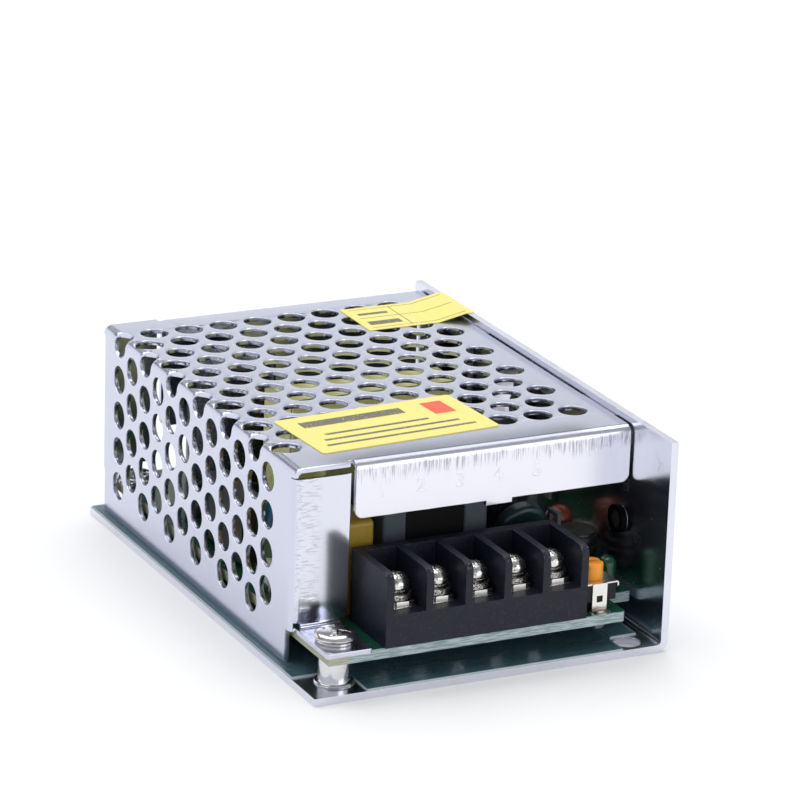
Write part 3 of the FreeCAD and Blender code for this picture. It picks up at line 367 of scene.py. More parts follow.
def clamp_washer_finish(middle, top):
    """Dark nickel, with a painted highlight on its front face, except its right end and its top edge."""
    finish = Finish("square_washer_rubbed_nickel", (0.1, 0.095, 0.09), 0.3, 1.0)
    cloud = finish.noise(0.6, 4.0)
    # Painted highlight: the front face, except its right end and its top edge, is made bright
    front = (finish.facing("Y") < -0.6) * (finish.along("X") < middle + 1.15)
    painted_lighting = front * (finish.along("Z") < top - 0.1)
    dark = finish.mix(cloud, (0.07, 0.065, 0.065), (0.16, 0.155, 0.15))
    finish.set("Base Color", finish.mix(painted_lighting, dark, (0.88, 0.86, 0.84)))
    finish.set("Roughness", cloud * 0.15 + 0.2)
    finish.bump(cloud, 0.2, 0.02)
    return finish.material


def rough_nickel_finish():
    """The same plating with a coarse rolled surface."""
    finish = Finish("washer_rough_nickel", (0.5, 0.48, 0.46), 0.3, 1.0)
    grains = finish.noise(0.22, 4.0)
    dull = grains.ramp(0.42, 0.62)
    finish.set("Base Color", finish.mix(dull, (0.72, 0.69, 0.68), (0.16, 0.15, 0.15)))
    finish.set("Roughness", dull * 0.2 + 0.2)
    finish.bump(grains, 0.8, 0.12)
    return finish.material


def board_finish():
    colour = tuple(colours().board)
    finish = Finish("board_mask_and_fibreglass", colour, 0.3)
    upright = abs(finish.facing("Z"))
    edge = 1 - upright.ramp(0.3, 0.7)
    fibres = finish.noise(0.24, 4.0, (0.12, 0.12, 2.0))
    mask = finish.mix(finish.noise(2.2), shade(colour, 0.75), shade(colour, 1.35))
    threads = fibres.ramp(0.35, 0.65)
    glass = finish.mix(threads, (0.17, 0.25, 0.25), (0.46, 0.55, 0.56))
    # The cut edge is stained yellow near the front left corner
    stain = 1 - finish.along("X").ramp(BOARD_LEFT + 1.5, BOARD_LEFT + 5.0)
    glass = finish.mix(stain * 0.6, glass, (0.45, 0.42, 0.22))
    # A printed ring goes round the solder of the trimmer's strap
    ring_x, ring_y = STRAP_FOOT
    across, deep = finish.along("X") - ring_x, finish.along("Y") - ring_y
    square = across * across + deep * deep
    reach = square.math("SQRT", square)
    ring = abs(reach - 1.75) < 0.09
    mask = finish.mix((reach < 1.66) * 0.5, mask, (0.22, 0.24, 0.20))
    mask = finish.mix(ring, mask, (0.01, 0.012, 0.012))
    finish.set("Base Color", finish.mix(edge, mask, glass))
    finish.set("Roughness", edge * 0.35 + fibres * 0.1 + 0.22)
    finish.bump(fibres * edge, 0.4, 0.04)
    return finish


def film_finish():
    colour = (0.12, 0.26, 0.32)
    finish = Finish("film_clear_sheet", colour, 0.12, IOR=1.5)
    cloud = finish.noise(9.0)
    dust = finish.noise(0.5, 2.0).ramp(0.62, 0.75)
    # The cut edge of the sheet catches the light
    cut = 1 - abs(finish.facing("Z")).ramp(0.5, 0.9)
    film = finish.mix(dust * 0.35, colour, (0.40, 0.48, 0.50))
    finish.set("Base Color", finish.mix(cut, film, (0.55, 0.66, 0.66)))
    finish.set("Alpha", cloud * 0.12 + cut * 0.4 + 0.34)
    finish.set("Roughness", cloud * 0.12 + dust * 0.2 + 0.08)
    finish.bump(cloud, 0.3, 0.05)
    return finish


def block_finish():
    """Black moulding with a fine spark-eroded grain and pale scuffs along its edges."""
    colour = tuple(colours().terminal_block)
    finish = Finish("terminal_block_moulding", colour, 0.45, Specular_IOR_Level=0.32)
    cloud = finish.noise(5.0)
    grain = finish.noise(0.16, 2.0)
    upright = abs(finish.facing("Z"))
    scuffed_edge = upright.ramp(0.25, 0.5) * (1 - upright.ramp(0.80, 0.97))
    scuffs = finish.noise(0.5).ramp(0.50, 0.70)
    tone = finish.mix(cloud, shade(colour, 0.7), shade(colour, 1.3))
    pale = scuffed_edge * scuffs * 0.5 + scuffs * 0.04
    finish.set("Base Color", finish.mix(pale, tone, (0.20, 0.20, 0.23)))
    finish.set("Roughness", grain * 0.15 + cloud * 0.1 + 0.34)
    finish.bump(grain + cloud * 0.3, 0.5, 0.04)
    return finish


def can_finish():
    """A shrunk sleeve on the side and bare aluminium on the top."""
    finish = Finish("can_sleeve_and_top", (0.02, 0.022, 0.03), 0.3)
    top = finish.facing("Z").ramp(0.85, 0.95)
    grain = finish.noise(0.5)
    sleeve = finish.mix(grain, (0.012, 0.014, 0.02), (0.03, 0.033, 0.045))
    bare = finish.mix(grain, (0.42, 0.43, 0.46), (0.62, 0.63, 0.66))
    finish.set("Base Color", finish.mix(top, sleeve, bare))
    finish.set("Metallic", top)
    finish.set("Roughness", grain * 0.1 + 0.22)
    finish.bump(grain, 0.2, 0.03)
    return finish


def wound_finish(name, colour, wire):
    """Wire wound side by side, with painted shade in the grooves between the turns."""
    finish = Finish(name, colour, 0.35, 0.6)
    turns = finish.node(
        "ShaderNodeTexWave",
        {"wave_type": "BANDS", "bands_direction": "X"},
        {"Vector": finish.place(), "Scale": 0.314 / wire, "Distortion": 0.3},
        "Fac",
    )
    # Painted shade: the colour darkens between the turns
    finish.set("Base Color", finish.mix(turns, shade(colour, 0.35), colour))
    finish.bump(turns, 0.8, 0.12)
    return finish


def tape_finish():
    finish = Finish("tape_yellow", (0.90, 0.88, 0.38), 0.28)
    cloud = finish.noise(5.0)
    seam = finish.noise(0.8, 2.0, (0.1, 1.0, 1.0))
    finish.set("Base Color", finish.mix(cloud, (0.84, 0.83, 0.32), (0.97, 0.95, 0.46)))
    finish.set("Roughness", seam * 0.15 + 0.2)
    finish.bump(cloud + seam * 0.5, 0.3, 0.08)
    return finish


def boxed(u, v, centre, half):
    """1 inside a rectangle and 0 outside."""
    return (abs(u - centre[0]) < half[0]) * (abs(v - centre[1]) < half[1])


def label_finish(name, centre, turn, bars, red_field, rule_lines):
    """Yellow paper with plain printed bars, rules and a field of red."""
    colour = tuple(colours().label)
    finish = Finish(name, colour, 0.42)
    start = {"Vector": finish.place(), "Location": (-centre[0], -centre[1], 0.0)}
    moved = finish.node("ShaderNodeMapping", {}, start)
    turned = finish.node("ShaderNodeMapping", {}, {"Vector": moved, "Rotation": (0.0, 0.0, -turn)})
    u, v = finish.part(turned, "X"), finish.part(turned, "Y")
    fibres = finish.noise(1.4, 5.0)
    paper = finish.mix(fibres, shade(colour, 0.95), shade(colour, 1.05))
    ink = boxed(u, v, *bars[0])
    for bar in bars[1:] + rule_lines:
        ink = ink.either(boxed(u, v, *bar))
    wear = finish.noise(0.35, 2.0).ramp(0.25, 0.4)
    printed = finish.mix(ink * wear * 0.9, paper, (0.05, 0.05, 0.055))
    if red_field:
        printed = finish.mix(boxed(u, v, *red_field), printed, (0.85, 0.10, 0.04))
    finish.set("Base Color", printed)
    finish.set("Roughness", fibres * 0.15 + 0.32)
    finish.bump(fibres, 0.15, 0.02)
    return finish


finishes = {}
SMOOTH_BELOW = math.radians(35)
ROUND_ABOVE = math.radians(40)
RIM_ABOVE = 1.2
CROSS_TAPER = 0.62


def make_finishes():
    """Every material, by the record's slot."""
    rotor, lamp = tuple(colours().rotor), tuple(colours().lamp)
    finishes.clear()
    finishes.update({
        "chassis_metal": chassis_finish(),
        "cover_metal": cover_finish(),
        "film": film_finish(),
        "board": board_finish(),
        "pillar_steel": metal(
            "pillar_bright_steel", (0.72, 0.72, 0.74), 0.16, 0.06, 2.0, 0.2, 0.01, (0.2, 0.2, 2.0)
        ),
        "screw_nickel": metal("screw_nickel", (0.70, 0.69, 0.67), 0.18, 0.08, 0.8, 0.15, 0.015),
        "block_plastic": block_finish(),
        "tinned_metal": metal("tinned_brass", (0.80, 0.79, 0.76), 0.24, 0.10, 1.2, 0.2, 0.02),
        "trimmer_plastic": plastic(
            "trimmer_base_black", (0.004, 0.004, 0.006), 0.4, 0.3, 0.02, Specular_IOR_Level=0.3
        ),
        "rotor_plastic": plastic("trimmer_rotor_orange", rotor, 0.38, 0.4, 0.02),
        "lamp_lens": plastic(
            "lamp_green_lens", lamp, 0.14, 0.8, 0.01, 0.15, Coat_Weight=0.3, Coat_Roughness=0.05
        ),
        "mustard_plastic": plastic("capacitor_mustard", (0.36, 0.23, 0.02), 0.42, 0.5, 0.03),
        "former_plastic": plastic("former_grey_blue", (0.06, 0.075, 0.095), 0.5, 0.25, 0.06, 0.25),
        "ferrite": plastic(
            "ferrite_dark", (0.006, 0.006, 0.007), 0.6, 0.15, 0.04, 0.3, Specular_IOR_Level=0.12
        ),
        "copper_winding": wound_finish("copper_wire", (0.72, 0.28, 0.09), 0.5),
        "yellow_tape": tape_finish(),
        "blue_disc": plastic("disc_blue_coat", (0.02, 0.14, 0.26), 0.3, 0.7, 0.06),
        "green_disc": plastic("disc_green_coat", (0.006, 0.024, 0.026), 0.35, 0.7, 0.06),
        "red_brown_bead": plastic("bead_red_brown", (0.22, 0.045, 0.02), 0.25, 0.7, 0.04),
        "sleeve_black": plastic("sleeve_black", (0.014, 0.014, 0.016), 0.3, 0.5, 0.04),
        "can_sleeve": can_finish(),
        "package_black": plastic("package_black", (0.02, 0.02, 0.022), 0.5, 0.2, 0.03),
        "pad_grey": plastic("pad_grey", (0.45, 0.46, 0.45), 0.7, 0.4, 0.04),
        "fuse_glass": plastic("fuse_tube", (0.55, 0.57, 0.55), 0.2, 0.6, 0.02),
        "resistor_body": plastic("resistor_body", (0.05, 0.07, 0.085), 0.45, 0.5, 0.03),
    })


# Building pieces

def dress(mesh, slot, material=None):
    """Gives a mesh its material and smooth shading between its sharp edges."""
    mesh.materials.clear()
    mesh.materials.append(material or finishes[slot].material)
    for face in mesh.polygons:
        face.use_smooth = True
    mesh.set_sharp_from_angle(angle=SMOOTH_BELOW)


def put(name, data):
    """Puts a new object in the scene."""
    thing = bpy.data.objects.new(name, data)
    bpy.context.scene.collection.objects.link(thing)
    return thing


def mesh_of(name, bm):
    """Turns a bmesh into a mesh."""
    mesh = bpy.data.meshes.new(name)
    bm.to_mesh(mesh)
    bm.free()
    return mesh


def add_piece(name, bm, slot, body="root", replaces=(), material=None):
    """Makes a finished piece of a bmesh, riding on its body."""
    bmesh.ops.recalc_face_normals(bm, faces=bm.faces[:])
    mesh = mesh_of(name, bm)
    dress(mesh, slot, material)
    piece = put(name, mesh)
    shading = piece.modifiers.new("flat_faces_stay_flat", "WEIGHTED_NORMAL")
    shading.keep_sharp = True
    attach(piece, body)
    if replaces:
        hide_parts(*replaces)
    return piece


def merged_copy(node):
    """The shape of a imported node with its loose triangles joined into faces."""
    bm = bmesh.new()
    bm.from_mesh(frame["nodes"][node].data)
    bmesh.ops.remove_doubles(bm, verts=bm.verts[:], dist=0.002 * MM)
    bmesh.ops.dissolve_limit(bm, angle_limit=math.radians(0.5), verts=bm.verts[:], edges=bm.edges[:])
    return bm


def sharp_edges(bm, limit):
    """Edges whose two faces meet at more than an angle."""
    return [edge for edge in bm.edges if len(edge.link_faces) == 2 and edge.calc_face_angle(0.0) > limit]


def bevel(bm, edges, width, clamp):
    """Rounds edges in two steps."""
    where = {"geom": edges, "offset": width, "offset_type": "OFFSET", "clamp_overlap": clamp}
    bmesh.ops.bevel(bm, affect="EDGES", segments=2, profile=0.5, material=-1, **where)


def cut_across(bm, faces, place, axis):
    """Cuts faces where a plane crosses them."""
    edges = {edge for face in faces for edge in face.edges}
    verts = {vert for face in faces for vert in face.verts}
    parts = [*verts, *edges, *faces]
    bmesh.ops.bisect_plane(bm, geom=parts, dist=TOUCH, plane_co=place, plane_no=axis)


def soften(node, slot, width, body="root", material=None):
    """Stands for a node with the same shape, its edges rounded."""
    bm = merged_copy(node)
    bevel(bm, sharp_edges(bm, ROUND_ABOVE), width, True)
    return add_piece(node + "_finished", bm, slot, body, (node,), material)


def spun(bm, outline, x, y, steps=32):
    """Turns an outline of (radius, height) points about an upright axis."""
    corners = [bm.verts.new((x + radius, y, height)) for radius, height in outline]
    edges = [bm.edges.new(pair) for pair in zip(corners, corners[1:])]
    turn = {"cent": (x, y, 0.0), "axis": AXIS_Z, "angle": 2 * math.pi, "steps": steps}
    bmesh.ops.spin(bm, geom=corners + edges, use_merge=True, **turn)
    bmesh.ops.remove_doubles(bm, verts=bm.verts[:], dist=1e-4)
    bmesh.ops.recalc_face_normals(bm, faces=bm.faces[:])
    bm.normal_update()


def sink_cross(bm, x, y, length, width, depth, level, turn=0.0):
    """Sinks a cross recess that tapers towards its floor into the top of a head."""
    centre = Vector((x, y, 0.0))
    first = Vector((math.cos(turn), math.sin(turn), 0.0))
    second = Vector((-math.sin(turn), math.cos(turn), 0.0))

    def offset(face):
        return face.calc_center_median() - centre

    def on_top(face):
        return face.normal.z > 0.3 and offset(face).z > level

    for axis in (first, second):
        for cut in (-length, -width, width, length):
            faces = [face for face in bm.faces if on_top(face) and offset(face).xy.length < 2 * length]
            cut_across(bm, faces, centre + axis * cut, axis)
    bm.normal_update()
    wings = []
    for face in bm.faces:
        away = offset(face)
        short, long = sorted((abs(away.dot(first)), abs(away.dot(second))))
        if on_top(face) and short < width and long < length:
            wings.append(face)
    if not wings:
        raise RuntimeError("no faces for the cross recess")
    grown = bmesh.ops.extrude_face_region(bm, geom=wings)
    sunk = [part for part in grown["geom"] if isinstance(part, bmesh.types.BMVert)]
    for vert in sunk:
        away = (vert.co - centre).xy
        vert.co.xy = centre.xy + away * CROSS_TAPER
        vert.co.z = max(vert.co.z - depth, level + 0.1)


def dome(radius, low, high, steps=7):
    """The outline of a low dome from its rim to its middle."""
    angles = [step / steps * math.pi / 2 for step in range(steps + 1)]
    return [(radius * math.cos(angle), low + (high - low) * math.sin(angle)) for angle in angles]


def in_metres(bm):
    bmesh.ops.scale(bm, vec=(MM, MM, MM), verts=bm.verts[:])
    return bm


def keep_node(node, slot, material=None):
    """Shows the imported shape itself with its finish."""
    dress(frame["nodes"][node].data, slot, material)


def middle_of(node):
    """The middle of a node from above, in millimetres."""
    low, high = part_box(node)
    return (low.x + high.x) / 2 / MM, (low.y + high.y) / 2 / MM


# Cover: a flat blank, punched and then folded. Its lengths are in millimetres.

COVER_LEFT, FOOT_FRONT, COVER_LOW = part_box("cover")[0] / MM
TONGUE_END, COVER_REAR, COVER_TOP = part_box("cover")[1] / MM
CASE_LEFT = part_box("chassis")[0].x / MM
CASE_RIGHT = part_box("chassis")[1].x / MM
CASE_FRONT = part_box("chassis")[0].y / MM
CASE_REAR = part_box("chassis")[1].y / MM
BOARD_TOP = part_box("terminal_block")[0].z / MM
BOARD_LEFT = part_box("circuit_board")[0].x / MM
BOARD_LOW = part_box("circuit_board")[0].z / MM
CHASSIS_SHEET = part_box("insulating_film")[0].z / MM
PILLARS = [
    (CASE_LEFT + 5.5, CASE_FRONT + 5.2, BOARD_TOP + 0.8),
    (CASE_LEFT + 5.5, CASE_REAR - 6.0, BOARD_TOP),
    (CASE_RIGHT - 5.4, CASE_REAR - 6.0, BOARD_TOP),
    (CASE_RIGHT - 5.4, CASE_FRONT + 33.0, BOARD_TOP),
]
POWER_PLACES = [middle_of(node)[1] for node in ("rectifier", "transistor")]
WALL_THREADS = (CASE_FRONT + 14.0, sum(POWER_PLACES) / 2 + 1.0)
WALL_THREAD_HEIGHT = 16.5
FRONT_LABEL_TURN = math.radians(3.84)
STRAP_FOOT = (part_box("trimmer_base")[0].x / MM + 3.05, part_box("trimmer_strap")[0].y / MM + 0.25)
COVER_RIGHT = TONGUE_END - 1.2
COVER_FRONT = CASE_FRONT + 11.5
SHEET = 0.8
INNER_BEND = 0.6
OUTER_BEND = SHEET + INNER_BEND
NEUTRAL_ARC = (INNER_BEND + 0.56 * SHEET) * math.pi / 2
FLAP_LEFT = CASE_LEFT + 11.2
FLAP_CORNER = 1.2
TAB_RIGHT = FLAP_LEFT - 0.8
TAB_TOP = COVER_TOP - 1.6
FRONT_FLAP_LOW = COVER_TOP - 8.8
REAR_FLAP_LOW = COVER_TOP - 18.0
REAR_TAB_LOW = 8.4
FOOT_LEFT = CASE_LEFT + 2.0
FOOT_RIGHT = FOOT_LEFT + 7.3
FOOT_CORNER = 0.6
STUB_LEFT = CASE_LEFT + 32.5
STUB_RIGHT = STUB_LEFT + 4.4
STUB_DROP = 0.7
TONGUES = [(CASE_FRONT + middle - 5.0, CASE_FRONT + middle + 5.0) for middle in (22.0, 64.0)]
BEND_LEFT = COVER_LEFT + OUTER_BEND
BEND_FRONT = COVER_FRONT + OUTER_BEND
BEND_REAR = COVER_REAR - OUTER_BEND
SIDE_EDGE = BEND_LEFT - NEUTRAL_ARC
SIDE_NOTCH = 0.8
STRIP_INSET = 0.4
FIRST_ROW = COVER_REAR - 6.9
ROW_COUNT = 12
HOLE_COLUMNS = range(-4, 10)
HOLE_MARGIN = 2.6
BEND_CUTS = 6
CORNER_STEPS = 5
SELECTION_SLACK = 0.01
NUMBER_HEIGHT = 3.2
NUMBER_RISE = 0.05


def side_flat(height):
    """Where a height of the left side lies on the flat blank."""
    return SIDE_EDGE - (COVER_TOP - OUTER_BEND - height)


def cover_outline():
    """The blank's outline, with the folded parts laid flat, as (x, y, corner radius)."""
    front_flat = BEND_FRONT - NEUTRAL_ARC - (COVER_TOP - OUTER_BEND - FRONT_FLAP_LOW)
    rear_flat = BEND_REAR + NEUTRAL_ARC + (COVER_TOP - OUTER_BEND - REAR_FLAP_LOW)
    stub_flat = front_flat - STUB_DROP
    tab_turn = BEND_FRONT - NEUTRAL_ARC
    tab_front = tab_turn - (TAB_RIGHT - BEND_LEFT)
    tab_rear = BEND_REAR + NEUTRAL_ARC + TAB_RIGHT - BEND_LEFT
    tab_top = side_flat(TAB_TOP)
    foot_line = side_flat(BOARD_TOP + OUTER_BEND)
    foot_turn = foot_line - NEUTRAL_ARC
    foot_tip = foot_turn - (COVER_FRONT - INNER_BEND - FOOT_FRONT)
    foot_near = tab_turn - (FOOT_LEFT - BEND_LEFT)
    foot_far = tab_turn - (FOOT_RIGHT - BEND_LEFT)
    strip_front = COVER_FRONT + STRIP_INSET
    strip_rear = COVER_REAR - STRIP_INSET
    side_low = side_flat(COVER_LOW)
    side_front = BEND_FRONT + SIDE_NOTCH
    rear_tab_low = side_flat(REAR_TAB_LOW)
    points = [(FLAP_LEFT, front_flat, FLAP_CORNER), (STUB_LEFT, front_flat, 0)]
    points += [(STUB_LEFT, stub_flat, 0), (STUB_RIGHT, stub_flat, 0), (STUB_RIGHT, front_flat, 0)]
    points.append((COVER_RIGHT, front_flat, FLAP_CORNER))
    for near, far in TONGUES:
        points += [(COVER_RIGHT, near, 0), (TONGUE_END, near, 0)]
        points += [(TONGUE_END, far, 0), (COVER_RIGHT, far, 0)]
    points += [(COVER_RIGHT, rear_flat, FLAP_CORNER), (FLAP_LEFT, rear_flat, FLAP_CORNER)]
    points += [(FLAP_LEFT, BEND_REAR, 0), (TAB_RIGHT, BEND_REAR, 0), (TAB_RIGHT, strip_rear, 0)]
    points += [(SIDE_EDGE, strip_rear, 0), (SIDE_EDGE, BEND_REAR, 0), (tab_top, BEND_REAR, 0)]
    points += [(tab_top, tab_rear, 0), (rear_tab_low, tab_rear, 0), (rear_tab_low, BEND_REAR, 0)]
    points += [(side_low, BEND_REAR, 0), (side_low, side_front, 0)]
    points += [(side_flat(BOARD_TOP), side_front, 0), (side_flat(BOARD_TOP), foot_near, 0)]
    points += [(foot_line, foot_near, 0), (foot_line, tab_turn, 0), (foot_turn, tab_turn, 0)]
    points += [(foot_turn, foot_near, 0), (foot_tip, foot_near, FOOT_CORNER)]
    points += [(foot_tip, foot_far, FOOT_CORNER), (foot_line, foot_far, 0)]
    points += [(foot_line, tab_front, 0), (tab_top, tab_front, 0)]
    points += [(tab_top, BEND_FRONT, 0), (SIDE_EDGE, BEND_FRONT, 0), (SIDE_EDGE, strip_front, 0)]
    points += [(TAB_RIGHT, strip_front, 0), (TAB_RIGHT, BEND_FRONT, 0), (FLAP_LEFT, BEND_FRONT, 0)]
    return points


def with_round_corners(points):
    """An outline whose square corners are arcs where they have a radius."""
    corners = [Vector((x, y, 0.0)) for x, y, _ in points]
    rounded = []
    for index, corner in enumerate(corners):
        radius = points[index][2]
        if radius == 0:
            rounded.append(corner)
            continue
        before = (corners[index - 1] - corner).normalized() * radius
        after = (corners[(index + 1) % len(corners)] - corner).normalized() * radius
        for step in range(CORNER_STEPS + 1):
            angle = step / CORNER_STEPS * math.pi / 2
            rounded.append(corner + before * (1 - math.sin(angle)) + after * (1 - math.cos(angle)))
    return rounded


def hole_centres():
    """Rows of holes across the blank, every other row shifted by half a pitch."""
    pitch = sizes().hole_pitch / MM
    row_step = pitch * math.sqrt(3) / 2
    centres = []
    for row in range(ROW_COUNT):
        shift = 0.5 * (row % 2)
        for column in HOLE_COLUMNS:
            u = COVER_LEFT + (column + shift) * pitch
            if u < COVER_RIGHT - HOLE_MARGIN:
                centres.append((u, FIRST_ROW - row * row_step))
    return centres


def fold(verts, start, out, rigid=False, outwards=False):
    """Folds a sheet square beyond a line on its outer surface, which faces up.

    out points away from what stays. The sheet turns down, or up where outwards is set.
    Rigid verts turn the whole way, also where they lie within the bend."""
    for vert in verts:
        offset = vert.co - start
        run = offset.dot(out)
        if run <= 0:
            continue
        height = offset.z
        angle = math.pi / 2 if rigid else min(run / NEUTRAL_ARC, 1.0) * math.pi / 2
        beyond = run - NEUTRAL_ARC if rigid else max(run - NEUTRAL_ARC, 0.0)
        radius = INNER_BEND - height if outwards else OUTER_BEND + height
        moved = radius * math.sin(angle) + beyond * math.cos(angle)
        turned = radius * math.cos(angle) - beyond * math.sin(angle)
        new_height = INNER_BEND - turned if outwards else turned - OUTER_BEND
        vert.co += out * (moved - run) + AXIS_Z * (new_height - height)


def cut_bend(bm, start, out, keep=lambda middle: True):
    """Cuts the flat sheet across where it will bend."""
    for step in range(BEND_CUTS + 1):
        faces = [face for face in bm.faces if keep(face.calc_center_median())]
        cut_across(bm, faces, start + out * (NEUTRAL_ARC * step / BEND_CUTS), out)


class SUPPLY_OT_cover(bpy.types.Operator):
    """Punches the flat blank of the cover and folds it"""

    bl_idname = "supply.cover"
    bl_label = "Cover"

    def execute(self, context):
        bm = bmesh.new()
        self.cut_blank(bm)
        self.thicken(bm)
        self.round_rims(bm)
        self.fold_blank(bm)
        bmesh.ops.translate(bm, vec=AXIS_Z * COVER_TOP, verts=bm.verts[:])
        add_piece("cover_folded", in_metres(bm), "cover_metal", replaces=("cover",))
        self.add_numbers()
        return {"FINISHED"}

    def add_numbers(self):
        """Raised plain numbers on the flap, one over each terminal."""
        bm = bmesh.new()
        for number in range(1, 6):
            curve = bpy.data.curves.new("number", "FONT")
            curve.body = str(number)
            curve.size = NUMBER_HEIGHT * MM
            curve.align_x = "CENTER"
            curve.extrude = NUMBER_RISE * 0.4 * MM
            curve.bevel_depth = NUMBER_RISE * MM
            curve.bevel_resolution = 1
            holder = bpy.data.objects.new("number", curve)
            mesh = bpy.data.meshes.new_from_object(holder)
            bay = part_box("terminal_plate_%d" % number)
            place = Vector(((bay[0].x + bay[1].x) / 2, COVER_FRONT * MM, (FRONT_FLAP_LOW + 3.0) * MM))
            mesh.transform(Matrix.Translation(place) @ Matrix.Rotation(math.pi / 2, 4, "X"))
            bm.from_mesh(mesh)
            bpy.data.objects.remove(holder)
            bpy.data.curves.remove(curve)
            bpy.data.meshes.remove(mesh)
        add_piece("terminal_numbers", bm, "cover_metal")

    def cut_blank(self, bm):
        """The flat outline with its round holes."""
        corners = [bm.verts.new(corner) for corner in with_round_corners(cover_outline())]
        for first, second in zip(corners, corners[1:] + corners[:1]):
            bm.edges.new((first, second))
        radius = sizes().hole_diameter / MM / 2
        for x, y in hole_centres():
            place = Matrix.Translation((x, y, 0.0))
            bmesh.ops.create_circle(bm, segments=sizes().hole_sides, radius=radius, matrix=place)
        bmesh.ops.triangle_fill(bm, use_beauty=True, edges=bm.edges[:], normal=AXIS_Z)

    def thicken(self, bm):
        """Gives the blank the sheet's thickness, below its outer surface."""
        grown = bmesh.ops.extrude_face_region(bm, geom=bm.faces[:], use_keep_orig=True)
        lowered = [part for part in grown["geom"] if isinstance(part, bmesh.types.BMVert)]
        bmesh.ops.translate(bm, vec=(0.0, 0.0, -SHEET), verts=lowered)
        bmesh.ops.recalc_face_normals(bm, faces=bm.faces[:])

    def round_rims(self, bm):
        """Rounds the rims of the holes and of the outline."""
        ends = ((edge, *edge.verts) for edge in sharp_edges(bm, RIM_ABOVE))
        level = [edge for edge, one, other in ends if abs(one.co.z - other.co.z) < 1e-6]
        bevel(bm, level, sizes().hole_rim / MM, False)

    def fold_blank(self, bm):
        """Cuts and folds the blank, the outermost folds first."""
        left_line = AXIS_X * BEND_LEFT
        front_line = AXIS_Y * BEND_FRONT
        rear_line = AXIS_Y * BEND_REAR
        foot_line = AXIS_X * side_flat(BOARD_TOP + OUTER_BEND)
        cut_bend(bm, left_line, -AXIS_X)
        cut_bend(bm, front_line, -AXIS_Y)
        cut_bend(bm, rear_line, AXIS_Y)
        cut_bend(bm, foot_line, -AXIS_X, lambda middle: middle.y < BEND_FRONT)
        tab_limit = (SIDE_EDGE + side_flat(TAB_TOP)) / 2
        flap_limit = (TAB_RIGHT + FLAP_LEFT) / 2
        in_front = [vert for vert in bm.verts if vert.co.y < BEND_FRONT - TOUCH]
        behind = [vert for vert in bm.verts if vert.co.y > BEND_REAR + TOUCH]
        side = [vert for vert in bm.verts if vert.co.x < BEND_LEFT - TOUCH]
        tab_turn = BEND_FRONT - NEUTRAL_ARC
        foot_edge = tab_turn + BEND_LEFT - FOOT_LEFT
        foot = set()
        for vert in in_front:
            x, y = vert.co.xy
            turned = x < foot_line.x - NEUTRAL_ARC / 2 and y < foot_edge + SELECTION_SLACK
            bent = x < foot_line.x - TOUCH and y < tab_turn + SELECTION_SLACK
            if turned or bent:
                foot.add(vert)
        fold(foot, foot_line, -AXIS_X, outwards=True)
        fold(foot, front_line, -AXIS_Y, rigid=True)
        for line, out, verts in ((front_line, -AXIS_Y, in_front), (rear_line, AXIS_Y, behind)):
            tab = [vert for vert in verts if vert.co.x < tab_limit and vert not in foot]
            fold(tab, line, out)
            fold([vert for vert in verts if vert.co.x > flap_limit], line, out)
        fold(side, left_line, -AXIS_X)


class SUPPLY_OT_chassis(bpy.types.Operator):
    """Finishes the chassis, the film and the pillars"""

    bl_idname = "supply.chassis"
    bl_label = "Chassis"

    def execute(self, context):
        soften("chassis", "chassis_metal", 0.15 * MM)
        keep_node("insulating_film", "film")
        self.add_pillars()
        self.add_board_screws()
        self.add_thread_plugs()
        return {"FINISHED"}

    def add_thread_plugs(self):
        """Black dust plugs in the two pressed-in threads of the wall."""
        bm = bmesh.new()
        lying = Matrix.Rotation(math.pi / 2, 4, "Y")
        size = {"segments": 24, "radius1": 1.47, "radius2": 1.47, "depth": 1.6}
        for y in WALL_THREADS:
            place = Matrix.Translation((CASE_RIGHT - 1.1, y, WALL_THREAD_HEIGHT)) @ lying
            bmesh.ops.create_cone(bm, cap_ends=True, matrix=place, **size)
        add_piece("thread_plugs", in_metres(bm), "package_black")

    def add_pillars(self):
        """Round pillars, each with a thin swaged collar on the base."""
        bm = bmesh.new()
        low = CHASSIS_SHEET
        post, root, collar = 2.45, 2.50, 3.0
        outline = [(0.0, low - 0.9), (root, low - 0.9), (root, low - 0.02)]
        outline += [(collar - 0.1, low - 0.02), (collar, low + 0.16), (collar - 0.14, low + 0.34)]
        outline += [(root + 0.12, low + 0.26), (root, low + 0.30), (post, low + 0.6)]
        outline += [(post, BOARD_LOW - 0.12), (post - 0.12, BOARD_LOW), (0.0, BOARD_LOW)]
        for x, y, _ in PILLARS:
            spun(bm, outline, x, y, 40)
        add_piece("board_pillars_turned", in_metres(bm), "pillar_steel", replaces=("board_pillars",))

    def add_board_screws(self):
        """Low domed heads with a cross recess, each on a round washer."""
        bm = bmesh.new()
        shank, washer, head = 1.4, 2.92, 3.18
        for x, y, seat in PILLARS:
            rim = seat + 0.62
            outline = [(0.0, seat - 3.2), (shank, seat - 3.2), (shank, seat), (washer - 0.12, seat)]
            outline += [(washer, seat + 0.1), (washer, seat + 0.4), (washer - 0.12, seat + 0.5)]
            outline += [(head - 0.43, rim), (head - 0.13, rim + 0.02), (head, rim + 0.16)]
            outline.append((head, rim + 0.3))
            outline += dome(head - 0.1, rim + 0.40, rim + 1.25)
            spun(bm, outline, x, y, 40)
            cross = {"length": 1.9, "width": 0.42, "depth": 0.75, "turn": math.radians(-32.0)}
            sink_cross(bm, x, y, level=rim + 0.3, **cross)
        add_piece("board_screws_domed", in_metres(bm), "screw_nickel", replaces=("board_screws",))


class SUPPLY_OT_board(bpy.types.Operator):
    """Finishes the circuit board"""

    bl_idname = "supply.board"
    bl_label = "Board"

    def execute(self, context):
        keep_node("circuit_board", "board")
        return {"FINISHED"}


